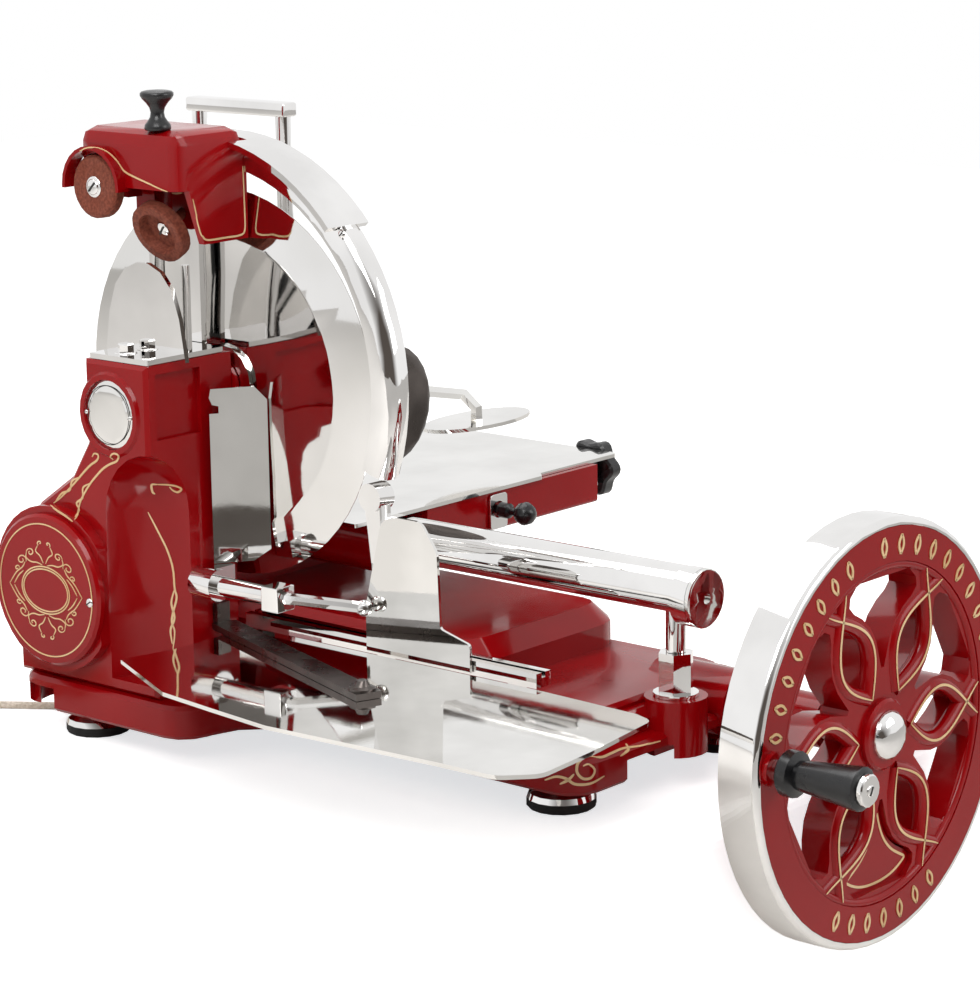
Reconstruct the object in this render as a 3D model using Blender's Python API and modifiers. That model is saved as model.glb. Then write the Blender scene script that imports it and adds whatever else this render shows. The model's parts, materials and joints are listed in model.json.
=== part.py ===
"""Hand crank flywheel meat slicer, built piece by piece at its real size.

Metres, +Z up. The machine's own frame has its zero on the counter, below the
middle of the blade. +X runs from the blade to the meat, -Y to the flywheel.
The root empty then puts the bottom centre of the machine's box at the origin.
"""

import math

import bmesh
import bpy
from mathutils import Matrix, Vector

# Clearances and overruns
FIT_GAP = 0.0003
SIDE_GAP = 0.0006
OVERRUN = 0.004
EMBED = 0.002
SHAFT_ROOM = 0.001

# Blade, its shaft and its guard
BLADE_RADIUS = 0.150
BLADE_HEIGHT = 0.275
BLADE_THICKNESS = 0.0045
BLADE_EDGE_THICKNESS = 0.0006
BEVEL_WIDTH = 0.036
DISH_DEPTH = 0.0012
HUB_FLANGE_RADIUS = 0.030
HUB_FLANGE_THICKNESS = 0.0035
HUB_NUT_RADIUS = 0.011
HUB_NUT_THICKNESS = 0.003
BLADE_SHAFT_RADIUS = 0.006
BLADE_BUSH_WALL = 0.0028
BLADE_BUSH_LENGTH = 0.020
BLADE_SHAFT_LEFT = -0.0382
BLADE_BOSS_RADIUS = 0.019
BLADE_BOSS_LENGTH = 0.0032
GUARD_INNER_RADIUS = 0.1555
GUARD_OUTER_RADIUS = 0.181
GUARD_Y = 0.0055
GUARD_HEIGHT = 0.283
GUARD_FRONT = -0.004
GUARD_BACK = 0.020
GUARD_START_DEG = -21.0
GUARD_END_DEG = 95.0
HOOD_START_DEG = 42.0
HOOD_THICKNESS = 0.0025
HOOD_OVERHANG = 0.016
HOOD_BACK_OVERHANG = 0.004
GUARD_ARM_LEFT = -0.0125
GUARD_ARM_THICKNESS = 0.0045
GUARD_ARM_NEAR = 0.012
GUARD_ARM_WIDTH = 0.016
GUARD_TAB_BOTTOM = 0.446
GUARD_TAB_TOP = 0.4585

# Column
COLUMN_FRONT = -0.098
COLUMN_BACK = -0.006
COLUMN_NEAR = -0.015
COLUMN_FAR = 0.052
COLUMN_TOP = 0.302
COLUMN_FLARE_FAR = 0.139
COLUMN_FLARE_TOP = 0.238
COLUMN_FLARE_MIDDLE = 0.150
SCOOP_X = -0.108
SCOOP_Y = -0.015
SCOOP_FLOOR = 0.010
SCOOP_RADIUS = 0.050
SCOOP_TOP = 0.236
PANEL_WIDTH = 0.046
PANEL_HEIGHT = 0.050
PANEL_DEPTH = 0.004
PANEL_INSET = 0.010
PANEL_MIDDLE = 0.270
BADGE_RADIUS = 0.0265
BADGE_THICKNESS = 0.004
BADGE_Y = 0.0250
BADGE_HEIGHT = 0.262
BADGE_SEAT_DEPTH = 0.0025
BADGE_RIM_PROUD = 0.0022
BADGE_RIM_RADIUS = 0.033
COVER_RADIUS = 0.0595
COVER_THICKNESS = 0.0062
COVER_Y = 0.088
COVER_HEIGHT = 0.120
COVER_EDGE = 0.0022
HOUSING_RADIUS = 0.065
HOUSING_DEPTH = 0.009

# Base casting
BASE_BOTTOM = 0.020
BASE_WALL = 0.007
BASE_NEAR = -0.370
BASE_FAR = 0.139
BASE_LEFT = -0.032
BASE_RIGHT = 0.224
BASE_CORNER = 0.026
PLINTH_TOP = 0.046
STEP_TOP = 0.0620
STEP_INSET = 0.016
DECK_TOP = 0.0675
DECK_INSET = 0.030
BED_LEFT = 0.012
BED_RIGHT = 0.196
BED_NEAR = -0.235
BED_TOP = 0.100
GEARBOX_LEFT = 0.008
GEARBOX_NEAR = 0.037
GEARBOX_TOP = 0.132
CASTING_ROUND = 0.007
CASTING_EDGE = 0.003
BED_ROUND = 0.014
BED_CORNER = 0.030
GEARBOX_WALL = 0.004
DOME_HALF = 0.012
DOME_RADIUS = 0.0459
GEAR_SLOT_HALF = 0.0085
LOBE_SWEEP = 0.044
ARCH_TOP = 0.037
ARCH_INSET = 0.050
SIDE_ARCH_NEAR = 0.094
SIDE_ARCH_FAR = 0.129
SIDE_ARCH_TOP = 0.0385
LOBE_NEAR = -0.052
BOSS_RADIUS = 0.0235
BOSS_TOP = 0.0685
SWELL_PROUD = 0.005
SWELL_LENGTH = 0.075
SWELL_RADIUS = 0.026
REAR_BOSS_NEAR = 0.100
REAR_BOSS_RADIUS = 0.022
CROSS_BOSS_LENGTH = 0.018
CROSS_BOSS_RADIUS = 0.0115
FOOT_BOSS_RADIUS = 0.0134

# Feet
FOOT_RADIUS = 0.0255
FOOT_PAD_HEIGHT = 0.007
FOOT_TOP_RADIUS = 0.0175
FOOT_PAD_STEP = 0.0015
FOOT_NECK_RADIUS = 0.0125
FOOT_PLACES = ((0.004, -0.326), (0.196, -0.326), (-0.070, 0.082), (0.202, 0.082))

# Flywheel, its shaft and handle
WHEEL_X = 0.158
WHEEL_HEIGHT = 0.049
WHEEL_FRONT = -0.501
WHEEL_WIDTH = 0.032
RIM_RADIUS = 0.1585
RIM_BAND = 0.0060
RIM_LIP = 0.0022
FACE_WIDTH = 0.026
WEB_DEPTH = 0.024
WEB_SET_BACK = 0.003
HUB_RADIUS = 0.0265
HUB_PROUD = 0.002
SHAFT_NEAR = -0.492
STUD_SEAT = 0.014
HUB_CAP_RADIUS = 0.0185
HUB_CAP_HEIGHT = 0.009
PETAL_COUNT = 6
PETAL_INNER = 0.030
PETAL_OUTER = 0.112
PETAL_HALF_WIDTH = 0.0245
PETAL_RIDGE = 0.0075
WINDOW_OUTER = 0.1235
FAN_THICKNESS = 0.008
HANDLE_DISTANCE = 0.1395
HANDLE_ANGLE_DEG = 176.7
HANDLE_BOSS_RADIUS = 0.0125
STUD_RADIUS = 0.0042
STUD_COLLAR_RADIUS = 0.0075
STUD_COLLAR_LENGTH = 0.007
GRIP_LENGTH = 0.065
GRIP_FLANGE_RADIUS = 0.0165
GRIP_NECK_RADIUS = 0.0105
GRIP_END_RADIUS = 0.0155
GRIP_CAP_RADIUS = 0.0115
GRIP_CAP_THICKNESS = 0.004
GRIP_EDGE = 0.002
GRIP_FLANGE_LENGTH = 0.012
MAIN_SHAFT_RADIUS = 0.0095
MAIN_SHAFT_FAR = 0.118
BUSH_WALL = 0.0035
BUSH_LENGTH = 0.022
SHAFT_HOUSING_RADIUS = 0.0195
SHAFT_HOUSING_NEAR = -0.452
SHAFT_HOUSING_COLLAR = 0.025
SHAFT_HOUSING_COLLAR_LENGTH = 0.018

# Gears, chain wheels and chain
CROSS_SHAFT_RADIUS = 0.0065
CROSS_SHAFT_LEFT = -0.048
CROSS_SHAFT_RIGHT = 0.182
DRIVE_GEAR_RADIUS = 0.0285
DRIVE_GEAR_WIDTH = 0.012
DRIVE_GEAR_TEETH = 20
CROSS_GEAR_RADIUS = 0.0418
CROSS_GEAR_WIDTH = 0.012
CROSS_GEAR_TEETH = 16
GEAR_TOOTH = 0.0022
CHAIN_PLANE = -0.035
CHAIN_WIDTH = 0.006
CHAIN_THICKNESS = 0.0024
DRIVE_WHEEL_RADIUS = 0.0255
BLADE_WHEEL_RADIUS = 0.0080
BLADE_WHEEL_TEETH = 8
DRIVE_WHEEL_TEETH = 24
CHAIN_TOOTH = 0.0012

# Carriage bar and its supports
BAR_X = 0.094
BAR_HEIGHT = 0.1450
BAR_RADIUS = 0.0215
BAR_FLAT = 0.0085
BAR_NEAR = -0.3840
BAR_FAR = 0.128
BAR_COLLAR_LENGTH = 0.014
BAR_CAP_THICKNESS = 0.004
BAR_CAP_HOLE_RADIUS = 0.0040
BAR_CAP_HOLE_DEPTH = 0.0025
POST_Y = -0.361
POST_RADIUS = 0.0075
HEX_ACROSS_FLATS = 0.0235
HEX_HEIGHT = 0.032
WASHER_RADIUS = 0.0170
WASHER_THICKNESS = 0.0025
BAR_SUPPORT_NEAR = 0.100
BAR_SUPPORT_HALF = 0.0265

# Guide rail, slice guard and deflector
RAIL_NEAR = -0.312
RAIL_FAR = -0.020
RAIL_X = -0.0060
RAIL_WIDTH = 0.016
RAIL_TOP = 0.0975
RAIL_HEIGHT = 0.011
RAIL_GROOVE = 0.004
RAIL_STAY_LENGTH = 0.018
SLICE_GUARD_X = -0.0081
SLICE_GUARD_THICKNESS = 0.0025
SLICE_GUARD_TOP = 0.195
SLICE_GUARD_FAR = -0.150
SLICE_GUARD_LENGTH = 0.102
SLICE_GUARD_CORNER = 0.012
GUARD_END_X = -0.0005
GUARD_END_Y = -0.146
GUARD_END_TOP = 0.208
GUARD_END_BOTTOM = 0.1195
GUARD_END_REACH = 0.024
GUARD_END_WIDTH = 0.018
GUARD_END_THICKNESS = 0.012
DEFLECTOR_THICKNESS = 0.002
DEFLECTOR_EDGE_Y = -0.045
DEFLECTOR_EDGE_X = -0.0016
DEFLECTOR_FRONT_X = -0.0400
DEFLECTOR_FRONT_Y = -0.0215
DEFLECTOR_BOTTOM = 0.1429
DEFLECTOR_TOP = 0.278
ROD_X = -0.050
ROD_HEIGHT = 0.1300
ROD_RADIUS = 0.0075
ROD_FLANGE_RADIUS = 0.0125
ROD_FLANGE_LENGTH = 0.022
ROD_NEAR = -0.105
SEAT_LEFT = -0.052
SEAT_RIGHT = -0.030
SEAT_NEAR = -0.034
LINK_RADIUS = 0.0045
LINK_BALL_RADIUS = 0.0065
LINK_BALL_X = -0.0175
LINK_BALL_Y = -0.156
LINK_BALL_HEIGHT = 0.1245

# Tray
TRAY_TOP = 0.090
TRAY_THICKNESS = 0.003
TRAY_LEFT = -0.200
TRAY_RIGHT = -0.0165
TRAY_NEAR = -0.452
TRAY_FAR = -0.022
TRAY_CORNER = 0.016
ARM_WIDTH = 0.020
ARM_THICKNESS = 0.005
ARM_BOLT_X = -0.106
ARM_BOLT_Y = -0.235
ARM_BOLT_RADIUS = 0.010
ARM_BOLT_HEIGHT = 0.008
ARM_BOLT_SHANK = 0.004
ARM_START_X = -0.030

# Carriage, table and press
TABLE_TOP = 0.171
TABLE_THICKNESS = 0.003
TABLE_NEAR = -0.101
TABLE_FAR = 0.132
TABLE_LEFT = 0.034
TABLE_RIGHT = 0.366
TABLE_LIP_X = 0.256
TABLE_NOTCH = 0.008
TABLE_CORNER = 0.006
SLEEVE_NEAR = -0.082
SLEEVE_FAR = 0.034
SLEEVE_RADIUS = 0.0265
BOX_LEFT = 0.1188
BOX_RIGHT = 0.331
BOX_NEAR = -0.0985
BOX_FAR = 0.034
BOX_BOTTOM = 0.1335
BOX_DROP = 0.0030
BOX_TAPER = 0.012
BOX_ROUND = 0.006
RUNNER_WIDTH = 0.012
RUNNER_DEPTH = 0.006
SLEEVE_SLOT = 0.022
TABLE_BACK_TRAVEL = 0.008
LEVER_X = 0.2015
LEVER_HEIGHT = 0.1530
LEVER_NECK_RADIUS = 0.0062
LEVER_NECK_LENGTH = 0.011
LEVER_STEM_RADIUS = 0.0034
LEVER_BALL_RADIUS = 0.0095
LEVER_BALL_Y = -0.1285
LEVER_TRAVEL = 0.004
LEVER_DEPTH = 0.010
KNOB_RADIUS = 0.0250
KNOB_THICKNESS = 0.014
KNOB_LOBES = 6
KNOB_LOBE_DEPTH = 0.0045
KNOB_Y = -0.060
KNOB_HEIGHT = 0.1535
KNOB_CLEARANCE = 0.0015
KNOB_NECK_RADIUS = 0.008
SCREW_RADIUS = 0.004
SCREW_LEFT = 0.150
SCREW_BRACKET_WIDTH = 0.006
PRESS_X = 0.100
PRESS_NEAR = 0.029
PRESS_FAR = 0.122
PRESS_ROD_RADIUS = 0.0062
PRESS_BAR_THICKNESS = 0.011
PRESS_BAR_DEPTH = 0.016
PRESS_TOP = 0.474
PRESS_BLOCK_HEIGHT = 0.034
PRESS_BLOCK_LEVEL = 0.251
PRESS_BLOCK_DEPTH = 0.024
PRESS_ARM_RADIUS = 0.0055
PRESS_DISC_Y = -0.080
PRESS_DISC_RADIUS = 0.047
PRESS_DISC_THICKNESS = 0.010
PRESS_PLATE_LENGTH = 0.120
PRESS_PLATE_WIDTH = 0.056
PRESS_PLATE_THICKNESS = 0.003
PRESS_PLATE_LEVEL = 0.205
PRESS_PLATE_X = 0.272
PRESS_PLATE_Y = -0.018
PRESS_LINK_RISE = 0.020

# Sharpener
SHARP_LEFT = -0.072
SHARP_RIGHT = -0.0010
SHARP_NEAR = -0.030
SHARP_FAR = 0.078
SHARP_TOP = 0.4735
SHARP_BOTTOM = 0.430
SHARP_APRON_BOTTOM = 0.389
SHARP_APRON_LEFT = -0.047
SHARP_WALL = 0.006
SHARP_CORNER = 0.011
FENDER_RADIUS = 0.031
FENDER_WIDTH = 0.012
SHARP_KNOB_X = -0.062
SHARP_KNOB_Y = 0.000
SHARP_KNOB_HEIGHT = 0.029
SHARP_KNOB_RADIUS = 0.0125
SHARP_KNOB_WAIST = 0.0050
STONE_RADIUS = 0.0240
STONE_THICKNESS = 0.0110
STONE_X = -0.0705
STONE_Y = 0.0570
STONE_HEIGHT = 0.4290
SPINDLE_RADIUS = 0.004
TRUER_RADIUS = 0.0245
TRUER_THICKNESS = 0.015
TRUER_CUP_DEPTH = 0.008
TRUER_CUP_RADIUS = 0.0175
TRUER_X = -0.050
TRUER_Y = 0.0110
TRUER_HEIGHT = 0.3975
TRUER_TILT_DEG = 26.0
BRACKET_X = -0.0660
BRACKET_THICKNESS = 0.004
BRACKET_FOOT_HALF = 0.043
BRACKET_TOP_HALF = 0.024
BRACKET_MIDDLE_Y = 0.016
BRACKET_TOP = 0.374
BRACKET_FOOT_FRONT = -0.094
BRACKET_SHELF_BACK = -0.014
BRACKET_PIN_RADIUS = 0.0035
BRACKET_PIN_X = -0.045
BRACKET_PIN_Y = -0.006
BRACKET_PIN_TOP = 0.3715
SHARP_POST_X = -0.022
SHARP_POST_Y = 0.048
SHARP_POST_RADIUS = 0.006
SHARP_POST_TOP = 0.446
SHARP_BLOCK_HALF = 0.010
SHARP_BLOCK_BOTTOM = 0.402
SHARP_RIB_WIDTH = 0.014
STONE_RIB_LEFT = -0.050
TRUER_RIB_LEFT = -0.030
TRUER_RIB_BOTTOM = 0.396
TRUER_SPINDLE_LENGTH = 0.040
BRACKET_POST_SHIFT = 0.0

# Mains cord
CORD_DIAMETER = 0.006
CORD_GAP = 0.0014
GLAND_RADIUS = 0.0046
GLAND_LENGTH = 0.004
GLAND_X = -0.0775
GLAND_Y = 0.100
CORD_REST = 0.0032
COIL_TURNS_EACH_LAYER = 3
COIL_POINTS_PER_TURN = 20
COIL_INNER_RADIUS = 0.0290
COIL_X = -0.1750
COIL_Y = 0.2300
COIL_ENTRY_DEG = 34.8
PLUG_LENGTH = 0.036
PLUG_NECK_RADIUS = 0.0048
PLUG_NECK_LENGTH = 0.010
PIN_RADIUS = 0.0022
PIN_LENGTH = 0.018
PIN_SPACING = 0.010

CORD_ROUTE = (
    (-0.0775, 0.1000, 0.0341),
    (-0.0775, 0.1003, 0.0300),
    (-0.0745, 0.1055, 0.0250),
    (-0.0700, 0.1125, 0.0195),
    (-0.0640, 0.1210, 0.0135),
    (-0.0585, 0.1300, 0.0080),
    (-0.0545, 0.1385, 0.0045),
    (-0.0532, 0.1465, 0.0033),
    (-0.0560, 0.1540, 0.0032),
    (-0.0617, 0.1622, 0.0032),
    (-0.0680, 0.1713, 0.0032),
    (-0.0746, 0.1810, 0.0032),
    (-0.0817, 0.1912, 0.0032),
    (-0.0890, 0.2018, 0.0032),
    (-0.0964, 0.2124, 0.0032),
    (-0.1040, 0.2230, 0.0032),
    (-0.1117, 0.2338, 0.0032),
)

# The machine's box, from which the origin is worked out
BOX_LOW_X = TRAY_LEFT
BOX_HIGH_X = TABLE_RIGHT + KNOB_CLEARANCE + KNOB_THICKNESS
GRIP_STACK = STUD_COLLAR_LENGTH + GRIP_LENGTH + GRIP_CAP_THICKNESS
BOX_LOW_Y = WHEEL_FRONT - HUB_PROUD * 2 - GRIP_STACK - FIT_GAP * 4
BOX_HIGH_Y = max(BASE_FAR, COLUMN_FLARE_FAR, COVER_Y + HOUSING_RADIUS)
ORIGIN = Vector(
    ((BOX_LOW_X + BOX_HIGH_X) / 2, (BOX_LOW_Y + BOX_HIGH_Y) / 2, WHEEL_HEIGHT - RIM_RADIUS)
)

# Shapes as shares of their sizes
TRAY_CORNER_SHARES = (0.1, 0.4, 0.6, 0.6, 0.9, 1.0, 1.0, 0.9, 0.7, 0.5, 0.6, 0.1, 0.1)
SLICE_GUARD_SHARES = (
    (0.00, 0.00), (0.00, 0.33), (0.17, 0.97), (0.32, 1.00), (0.55, 1.00),
    (0.70, 0.80), (0.72, 0.27), (1.00, 0.20), (1.00, 0.00),
)
DEFLECTOR_SHARES = (
    (0.00, 0.06), (0.30, 0.00), (1.00, 0.00), (1.00, 0.86), (0.84, 0.86), (0.84, 0.90),
    (0.95, 0.91), (1.00, 0.95), (0.97, 1.00), (0.22, 1.00), (0.00, 0.92),
)
TOOTH_SHARES = (0.0, 0.38, 0.5, 0.88)
TRAY_OUTLINE_SHARES = (
    (0.315, 0.995), (0.083, 0.787), (0.041, 0.657), (0.000, 0.514), (0.047, 0.167),
    (0.052, 0.050), (0.171, 0.000), (0.513, 0.015), (0.938, 0.044), (0.974, 0.086),
    (1.000, 0.312), (1.000, 0.970), (0.560, 0.970),
)
GAP_SIDE_SHARES = (
    (0.40, 0.07), (0.48, 0.16), (0.57, 0.23), (0.67, 0.36), (0.76, 0.54),
    (0.83, 0.70), (0.89, 0.76), (0.94, 0.70), (0.98, 0.52),
)
DISH_SHARES = ((0.30, 0.0), (0.55, 1.0), (0.74, 1.0))
FLANK_SHARES = ((0.00, 1.00), (0.33, 0.78), (0.62, 0.34), (1.00, 0.00))
GUARD_PROFILE_SHARES = (
    (0.00, 0.42), (0.10, 0.16), (0.30, 0.02), (0.62, 0.00), (0.90, 0.10), (1.00, 0.34),
    (1.00, 1.00), (0.84, 1.00), (0.82, 0.50), (0.40, 0.28), (0.20, 0.50), (0.12, 0.80), (0.00, 0.80),
)
BRACKET_SIDE_SHARES = ((0.00, 1.00), (0.45, 0.86), (0.75, 0.66), (0.92, 0.40), (1.00, 0.12))

# Circle counts
WHEEL_STEPS = 60
BLADE_STEPS = 60
GUARD_STEPS = 72
PETAL_STEPS = 6
FINE = 36
ROUND = 24
COARSE = 16
SMALL = 10


# Looks: colour, roughness and metallic value of each finish
LOOKS = {
    "red_enamel": ((0.42, 0.006, 0.012), 0.22, 0.0),
    "chrome": ((0.86, 0.86, 0.87), 0.08, 1.0),
    "polished_steel": ((0.72, 0.72, 0.73), 0.14, 1.0),
    "dark_steel": ((0.10, 0.09, 0.09), 0.30, 0.9),
    "black_plastic": ((0.012, 0.012, 0.013), 0.35, 0.0),
    "black_rubber": ((0.015, 0.015, 0.015), 0.75, 0.0),
    "brown_stone": ((0.20, 0.045, 0.025), 0.80, 0.0),
    "brass": ((0.60, 0.42, 0.16), 0.30, 1.0),
    "cream_cord": ((0.70, 0.64, 0.54), 0.55, 0.0),
}

TURN = {
    "X": Matrix.Rotation(math.radians(90.0), 4, "Y"),
    "Y": Matrix.Rotation(math.radians(-90.0), 4, "X"),
    "Z": Matrix.Identity(4),
}
FACE = {
    "X": Matrix(((0, 0, 1, 0), (1, 0, 0, 0), (0, 1, 0, 0), (0, 0, 0, 1))),
    "Y": Matrix(((1, 0, 0, 0), (0, 0, -1, 0), (0, 1, 0, 0), (0, 0, 0, 1))),
    "Z": Matrix.Identity(4),
}
WELD_DISTANCE = 0.000002
SMOOTH_ANGLE_DEG = 35.0
FLAT_ANGLE_DEG = 0.05
FLAT_PASSES = 6


def clear_scene():
    for item in list(bpy.data.objects):
        bpy.data.objects.remove(item, do_unlink=True)


def new_collection(name):
    made = bpy.data.collections.new(name)
    bpy.context.scene.collection.children.link(made)
    return made


clear_scene()
PARTS = new_collection("hand_crank_meat_slicer")
CUTTERS = new_collection("cutters")


def new_pivot(name, place, parent=None):
    pivot = bpy.data.objects.new(name, None)
    pivot.location = place
    pivot.parent = parent
    PARTS.objects.link(pivot)
    return pivot


MACHINE = new_pivot("machine", -ORIGIN)


def material(look):
    found = bpy.data.materials.get(look)
    if found:
        return found
    colour, roughness, metallic = LOOKS[look]
    made = bpy.data.materials.new(look)
    made.use_nodes = True
    made.diffuse_color = (*colour, 1.0)
    shader = made.node_tree.nodes["Principled BSDF"]
    shader.inputs["Base Color"].default_value = (*colour, 1.0)
    shader.inputs["Roughness"].default_value = roughness
    shader.inputs["Metallic"].default_value = metallic
    return made


def helper(name, data):
    made = bpy.data.objects.new(name, data)
    made.hide_render = True
    made.display_type = "WIRE"
    CUTTERS.objects.link(made)
    return made


def helper_from(shape, name):
    mesh = bpy.data.meshes.new(name)
    shape.to_mesh(mesh)
    shape.free()
    return helper(name, mesh)


def baked(obj):
    """The evaluated shape of obj as a plain welded mesh, in place of obj."""
    bpy.context.view_layer.update()
    graph = bpy.context.evaluated_depsgraph_get()
    mesh = bpy.data.meshes.new_from_object(obj.evaluated_get(graph), depsgraph=graph)
    mesh.transform(obj.matrix_world)
    shape = bmesh.new()
    shape.from_mesh(mesh)
    bmesh.ops.remove_doubles(shape, verts=shape.verts, dist=WELD_DISTANCE)
    bmesh.ops.dissolve_degenerate(shape, edges=shape.edges, dist=WELD_DISTANCE)
    bmesh.ops.dissolve_limit(
        shape, angle_limit=math.radians(FLAT_ANGLE_DEG), verts=shape.verts, edges=shape.edges
    )
    bmesh.ops.recalc_face_normals(shape, faces=shape.faces)
    shape.to_mesh(mesh)
    shape.free()
    name = obj.name
    bpy.data.objects.remove(obj, do_unlink=True)
    return helper(name, mesh)


def moved(obj, matrix):
    obj.data.transform(matrix)
    return obj


def box(low, high, rounding=0.0, upright_only=False, top_only=False):
    """A block between two corners, with all, its upright or its top edges rounded."""
    low, high = Vector(low), Vector(high)
    shape = bmesh.new()
    bmesh.ops.create_cube(shape, size=1.0)
    place = Matrix.Translation((low + high) / 2) @ Matrix.Diagonal((*(high - low), 1.0))
    bmesh.ops.transform(shape, matrix=place, verts=shape.verts)
    if rounding:
        middle = (low.z + high.z) / 2
        edges = list(shape.edges)
        if upright_only:
            edges = [e for e in edges if abs(e.verts[0].co.z - e.verts[1].co.z) > WELD_DISTANCE]
        if top_only:
            edges = [e for e in edges if max(v.co.z for v in e.verts) > middle]
        bmesh.ops.bevel(shape, geom=edges, offset=rounding, segments=2, profile=0.5, affect="EDGES")
    return helper_from(shape, "box")


def cylinder(start, axis, length, radius, end_radius=None, segments=ROUND):
    """A round bar or cone from start along X, Y or Z, or along a direction."""
    shape = bmesh.new()
    end = radius if end_radius is None else end_radius
    bmesh.ops.create_cone(
        shape, cap_ends=True, segments=segments, radius1=radius, radius2=end, depth=length
    )
    turn = TURN[axis] if axis in ("X", "Y", "Z") else pointing(axis)
    place = Matrix.Translation(start) @ turn @ Matrix.Translation((0, 0, length / 2))
    bmesh.ops.transform(shape, matrix=place, verts=shape.verts)
    return helper_from(shape, "cylinder")


def pointing(direction):
    return Vector(direction).to_track_quat("Z", "Y").to_matrix().to_4x4()


def turned(profile, start, axis, segments=ROUND, ring=False):
    """A turned shape. The profile lists (distance along the axis, radius) from the start."""
    mesh = bpy.data.meshes.new("turned")
    points = [(radius, 0.0, along) for along, radius in reversed(profile)]
    edges = [(i, i + 1) for i in range(len(points) - 1)]
    if ring:
        edges.append((len(points) - 1, 0))
    mesh.from_pydata(points, edges, [])
    obj = helper("turned", mesh)
    screw = obj.modifiers.new("screw", "SCREW")
    screw.axis = "Z"
    screw.angle = math.tau
    screw.steps = segments
    screw.render_steps = segments
    screw.use_merge_vertices = True
    screw.merge_threshold = WELD_DISTANCE
    turn = TURN[axis] if axis in ("X", "Y", "Z") else pointing(axis)
    return moved(baked(obj), Matrix.Translation(start) @ turn)


def plate(outlines, thickness, level, facing="Z", rounding=0.0):
    """A flat piece: outlines in the plane, the first one solid and the rest holes."""
    curve = bpy.data.curves.new("plate", "CURVE")
    curve.dimensions = "2D"
    curve.fill_mode = "BOTH"
    curve.extrude = thickness / 2 - rounding
    curve.bevel_depth = rounding
    curve.bevel_resolution = 0
    curve.offset = -rounding
    for outline in outlines:
        spline = curve.splines.new("POLY")
        spline.points.add(len(outline) - 1)
        for point, (x, y) in zip(spline.points, outline):
            point.co = (x, y, 0.0, 1.0)
        spline.use_cyclic_u = True
    made = baked(helper("plate", curve))
    if facing == "Y":
        level = -level
    return moved(made, FACE[facing] @ Matrix.Translation((0, 0, level)))


def tube(points, radius, resolution=2):
    """A round rod or cord that follows the points."""
    curve = bpy.data.curves.new("tube", "CURVE")
    curve.dimensions = "3D"
    curve.bevel_depth = radius
    curve.bevel_resolution = resolution
    curve.use_fill_caps = True
    spline = curve.splines.new("POLY")
    spline.points.add(len(points) - 1)
    for point, place in zip(spline.points, points):
        point.co = (*place, 1.0)
    return baked(helper("tube", curve))


def combined(first, others, operation):
    for other in others:
        join = first.modifiers.new("join", "BOOLEAN")
        join.operation = operation
        join.solver = "EXACT"
        join.object = other
        first = baked(first)
        bpy.data.objects.remove(other, do_unlink=True)
    return first


def united(first, *others):
    return combined(first, others, "UNION")


def cut(first, *others):
    return combined(first, others, "DIFFERENCE")


def common(first, *others):
    return combined(first, others, "INTERSECT")


def turn_flat_triangles(shape):
    """Turns the long edge of each triangle whose three corners lie on one line."""
    for _ in range(FLAT_PASSES):
        flat = []
        for face in shape.faces:
            longest = max(face.edges, key=lambda edge: edge.calc_length())
            if face.calc_area() * 2 < longest.calc_length() * WELD_DISTANCE:
                flat.append((face, longest))
        for face, longest in flat:
            if face.is_valid and longest.is_valid:
                bmesh.utils.edge_rotate(longest, False)


def finished(obj, name, look, pivot=None):
    """Names the piece, gives it its finish and hangs it on its pivot."""
    holder = pivot or MACHINE
    if pivot:
        obj.data.transform(Matrix.Translation(-pivot.location))
    mesh = obj.data
    mesh.name = name
    shape = bmesh.new()
    shape.from_mesh(mesh)
    bmesh.ops.triangulate(shape, faces=shape.faces, quad_method="BEAUTY", ngon_method="BEAUTY")
    bmesh.ops.dissolve_degenerate(shape, edges=shape.edges, dist=WELD_DISTANCE)
    turn_flat_triangles(shape)
    bmesh.ops.recalc_face_normals(shape, faces=shape.faces)
    shape.to_mesh(mesh)
    shape.free()
    mesh.materials.clear()
    mesh.materials.append(material(look))
    mesh.shade_smooth()
    mesh.set_sharp_from_angle(angle=math.radians(SMOOTH_ANGLE_DEG))
    CUTTERS.objects.unlink(obj)
    PARTS.objects.link(obj)
    obj.name = name
    obj.hide_render = False
    obj.display_type = "TEXTURED"
    obj.parent = holder
    return obj


def arc(centre, radius, start_deg, end_deg, steps):
    """Points along an arc, its two ends included."""
    points = []
    for step in range(steps + 1):
        angle = math.radians(start_deg + (end_deg - start_deg) * step / steps)
        points.append((centre[0] + radius * math.cos(angle), centre[1] + radius * math.sin(angle)))
    return points


def circle(centre, radius, steps=ROUND):
    return arc(centre, radius, 0.0, 360.0, steps)[:-1]


def rounded(corners, radius, steps=3):
    """An outline whose corners are arcs. A radius may be given for each corner."""
    points = []
    count = len(corners)
    radii = radius if isinstance(radius, (list, tuple)) else [radius] * count
    for i, corner in enumerate(corners):
        here = Vector(corner)
        back = (Vector(corners[i - 1]) - here).normalized()
        ahead = (Vector(corners[(i + 1) % count]) - here).normalized()
        if not radii[i]:
            points.append((here.x, here.y))
            continue
        half = back.angle(ahead) / 2
        reach = radii[i] / math.tan(half)
        centre = here + (back + ahead).normalized() * (radii[i] / math.sin(half))
        first = here + back * reach - centre
        last = here + ahead * reach - centre
        sweep = first.angle_signed(last)
        for step in range(steps + 1):
            turn = Matrix.Rotation(-sweep * step / steps, 2)
            place = centre + turn @ first
            points.append((place.x, place.y))
    return points


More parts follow.
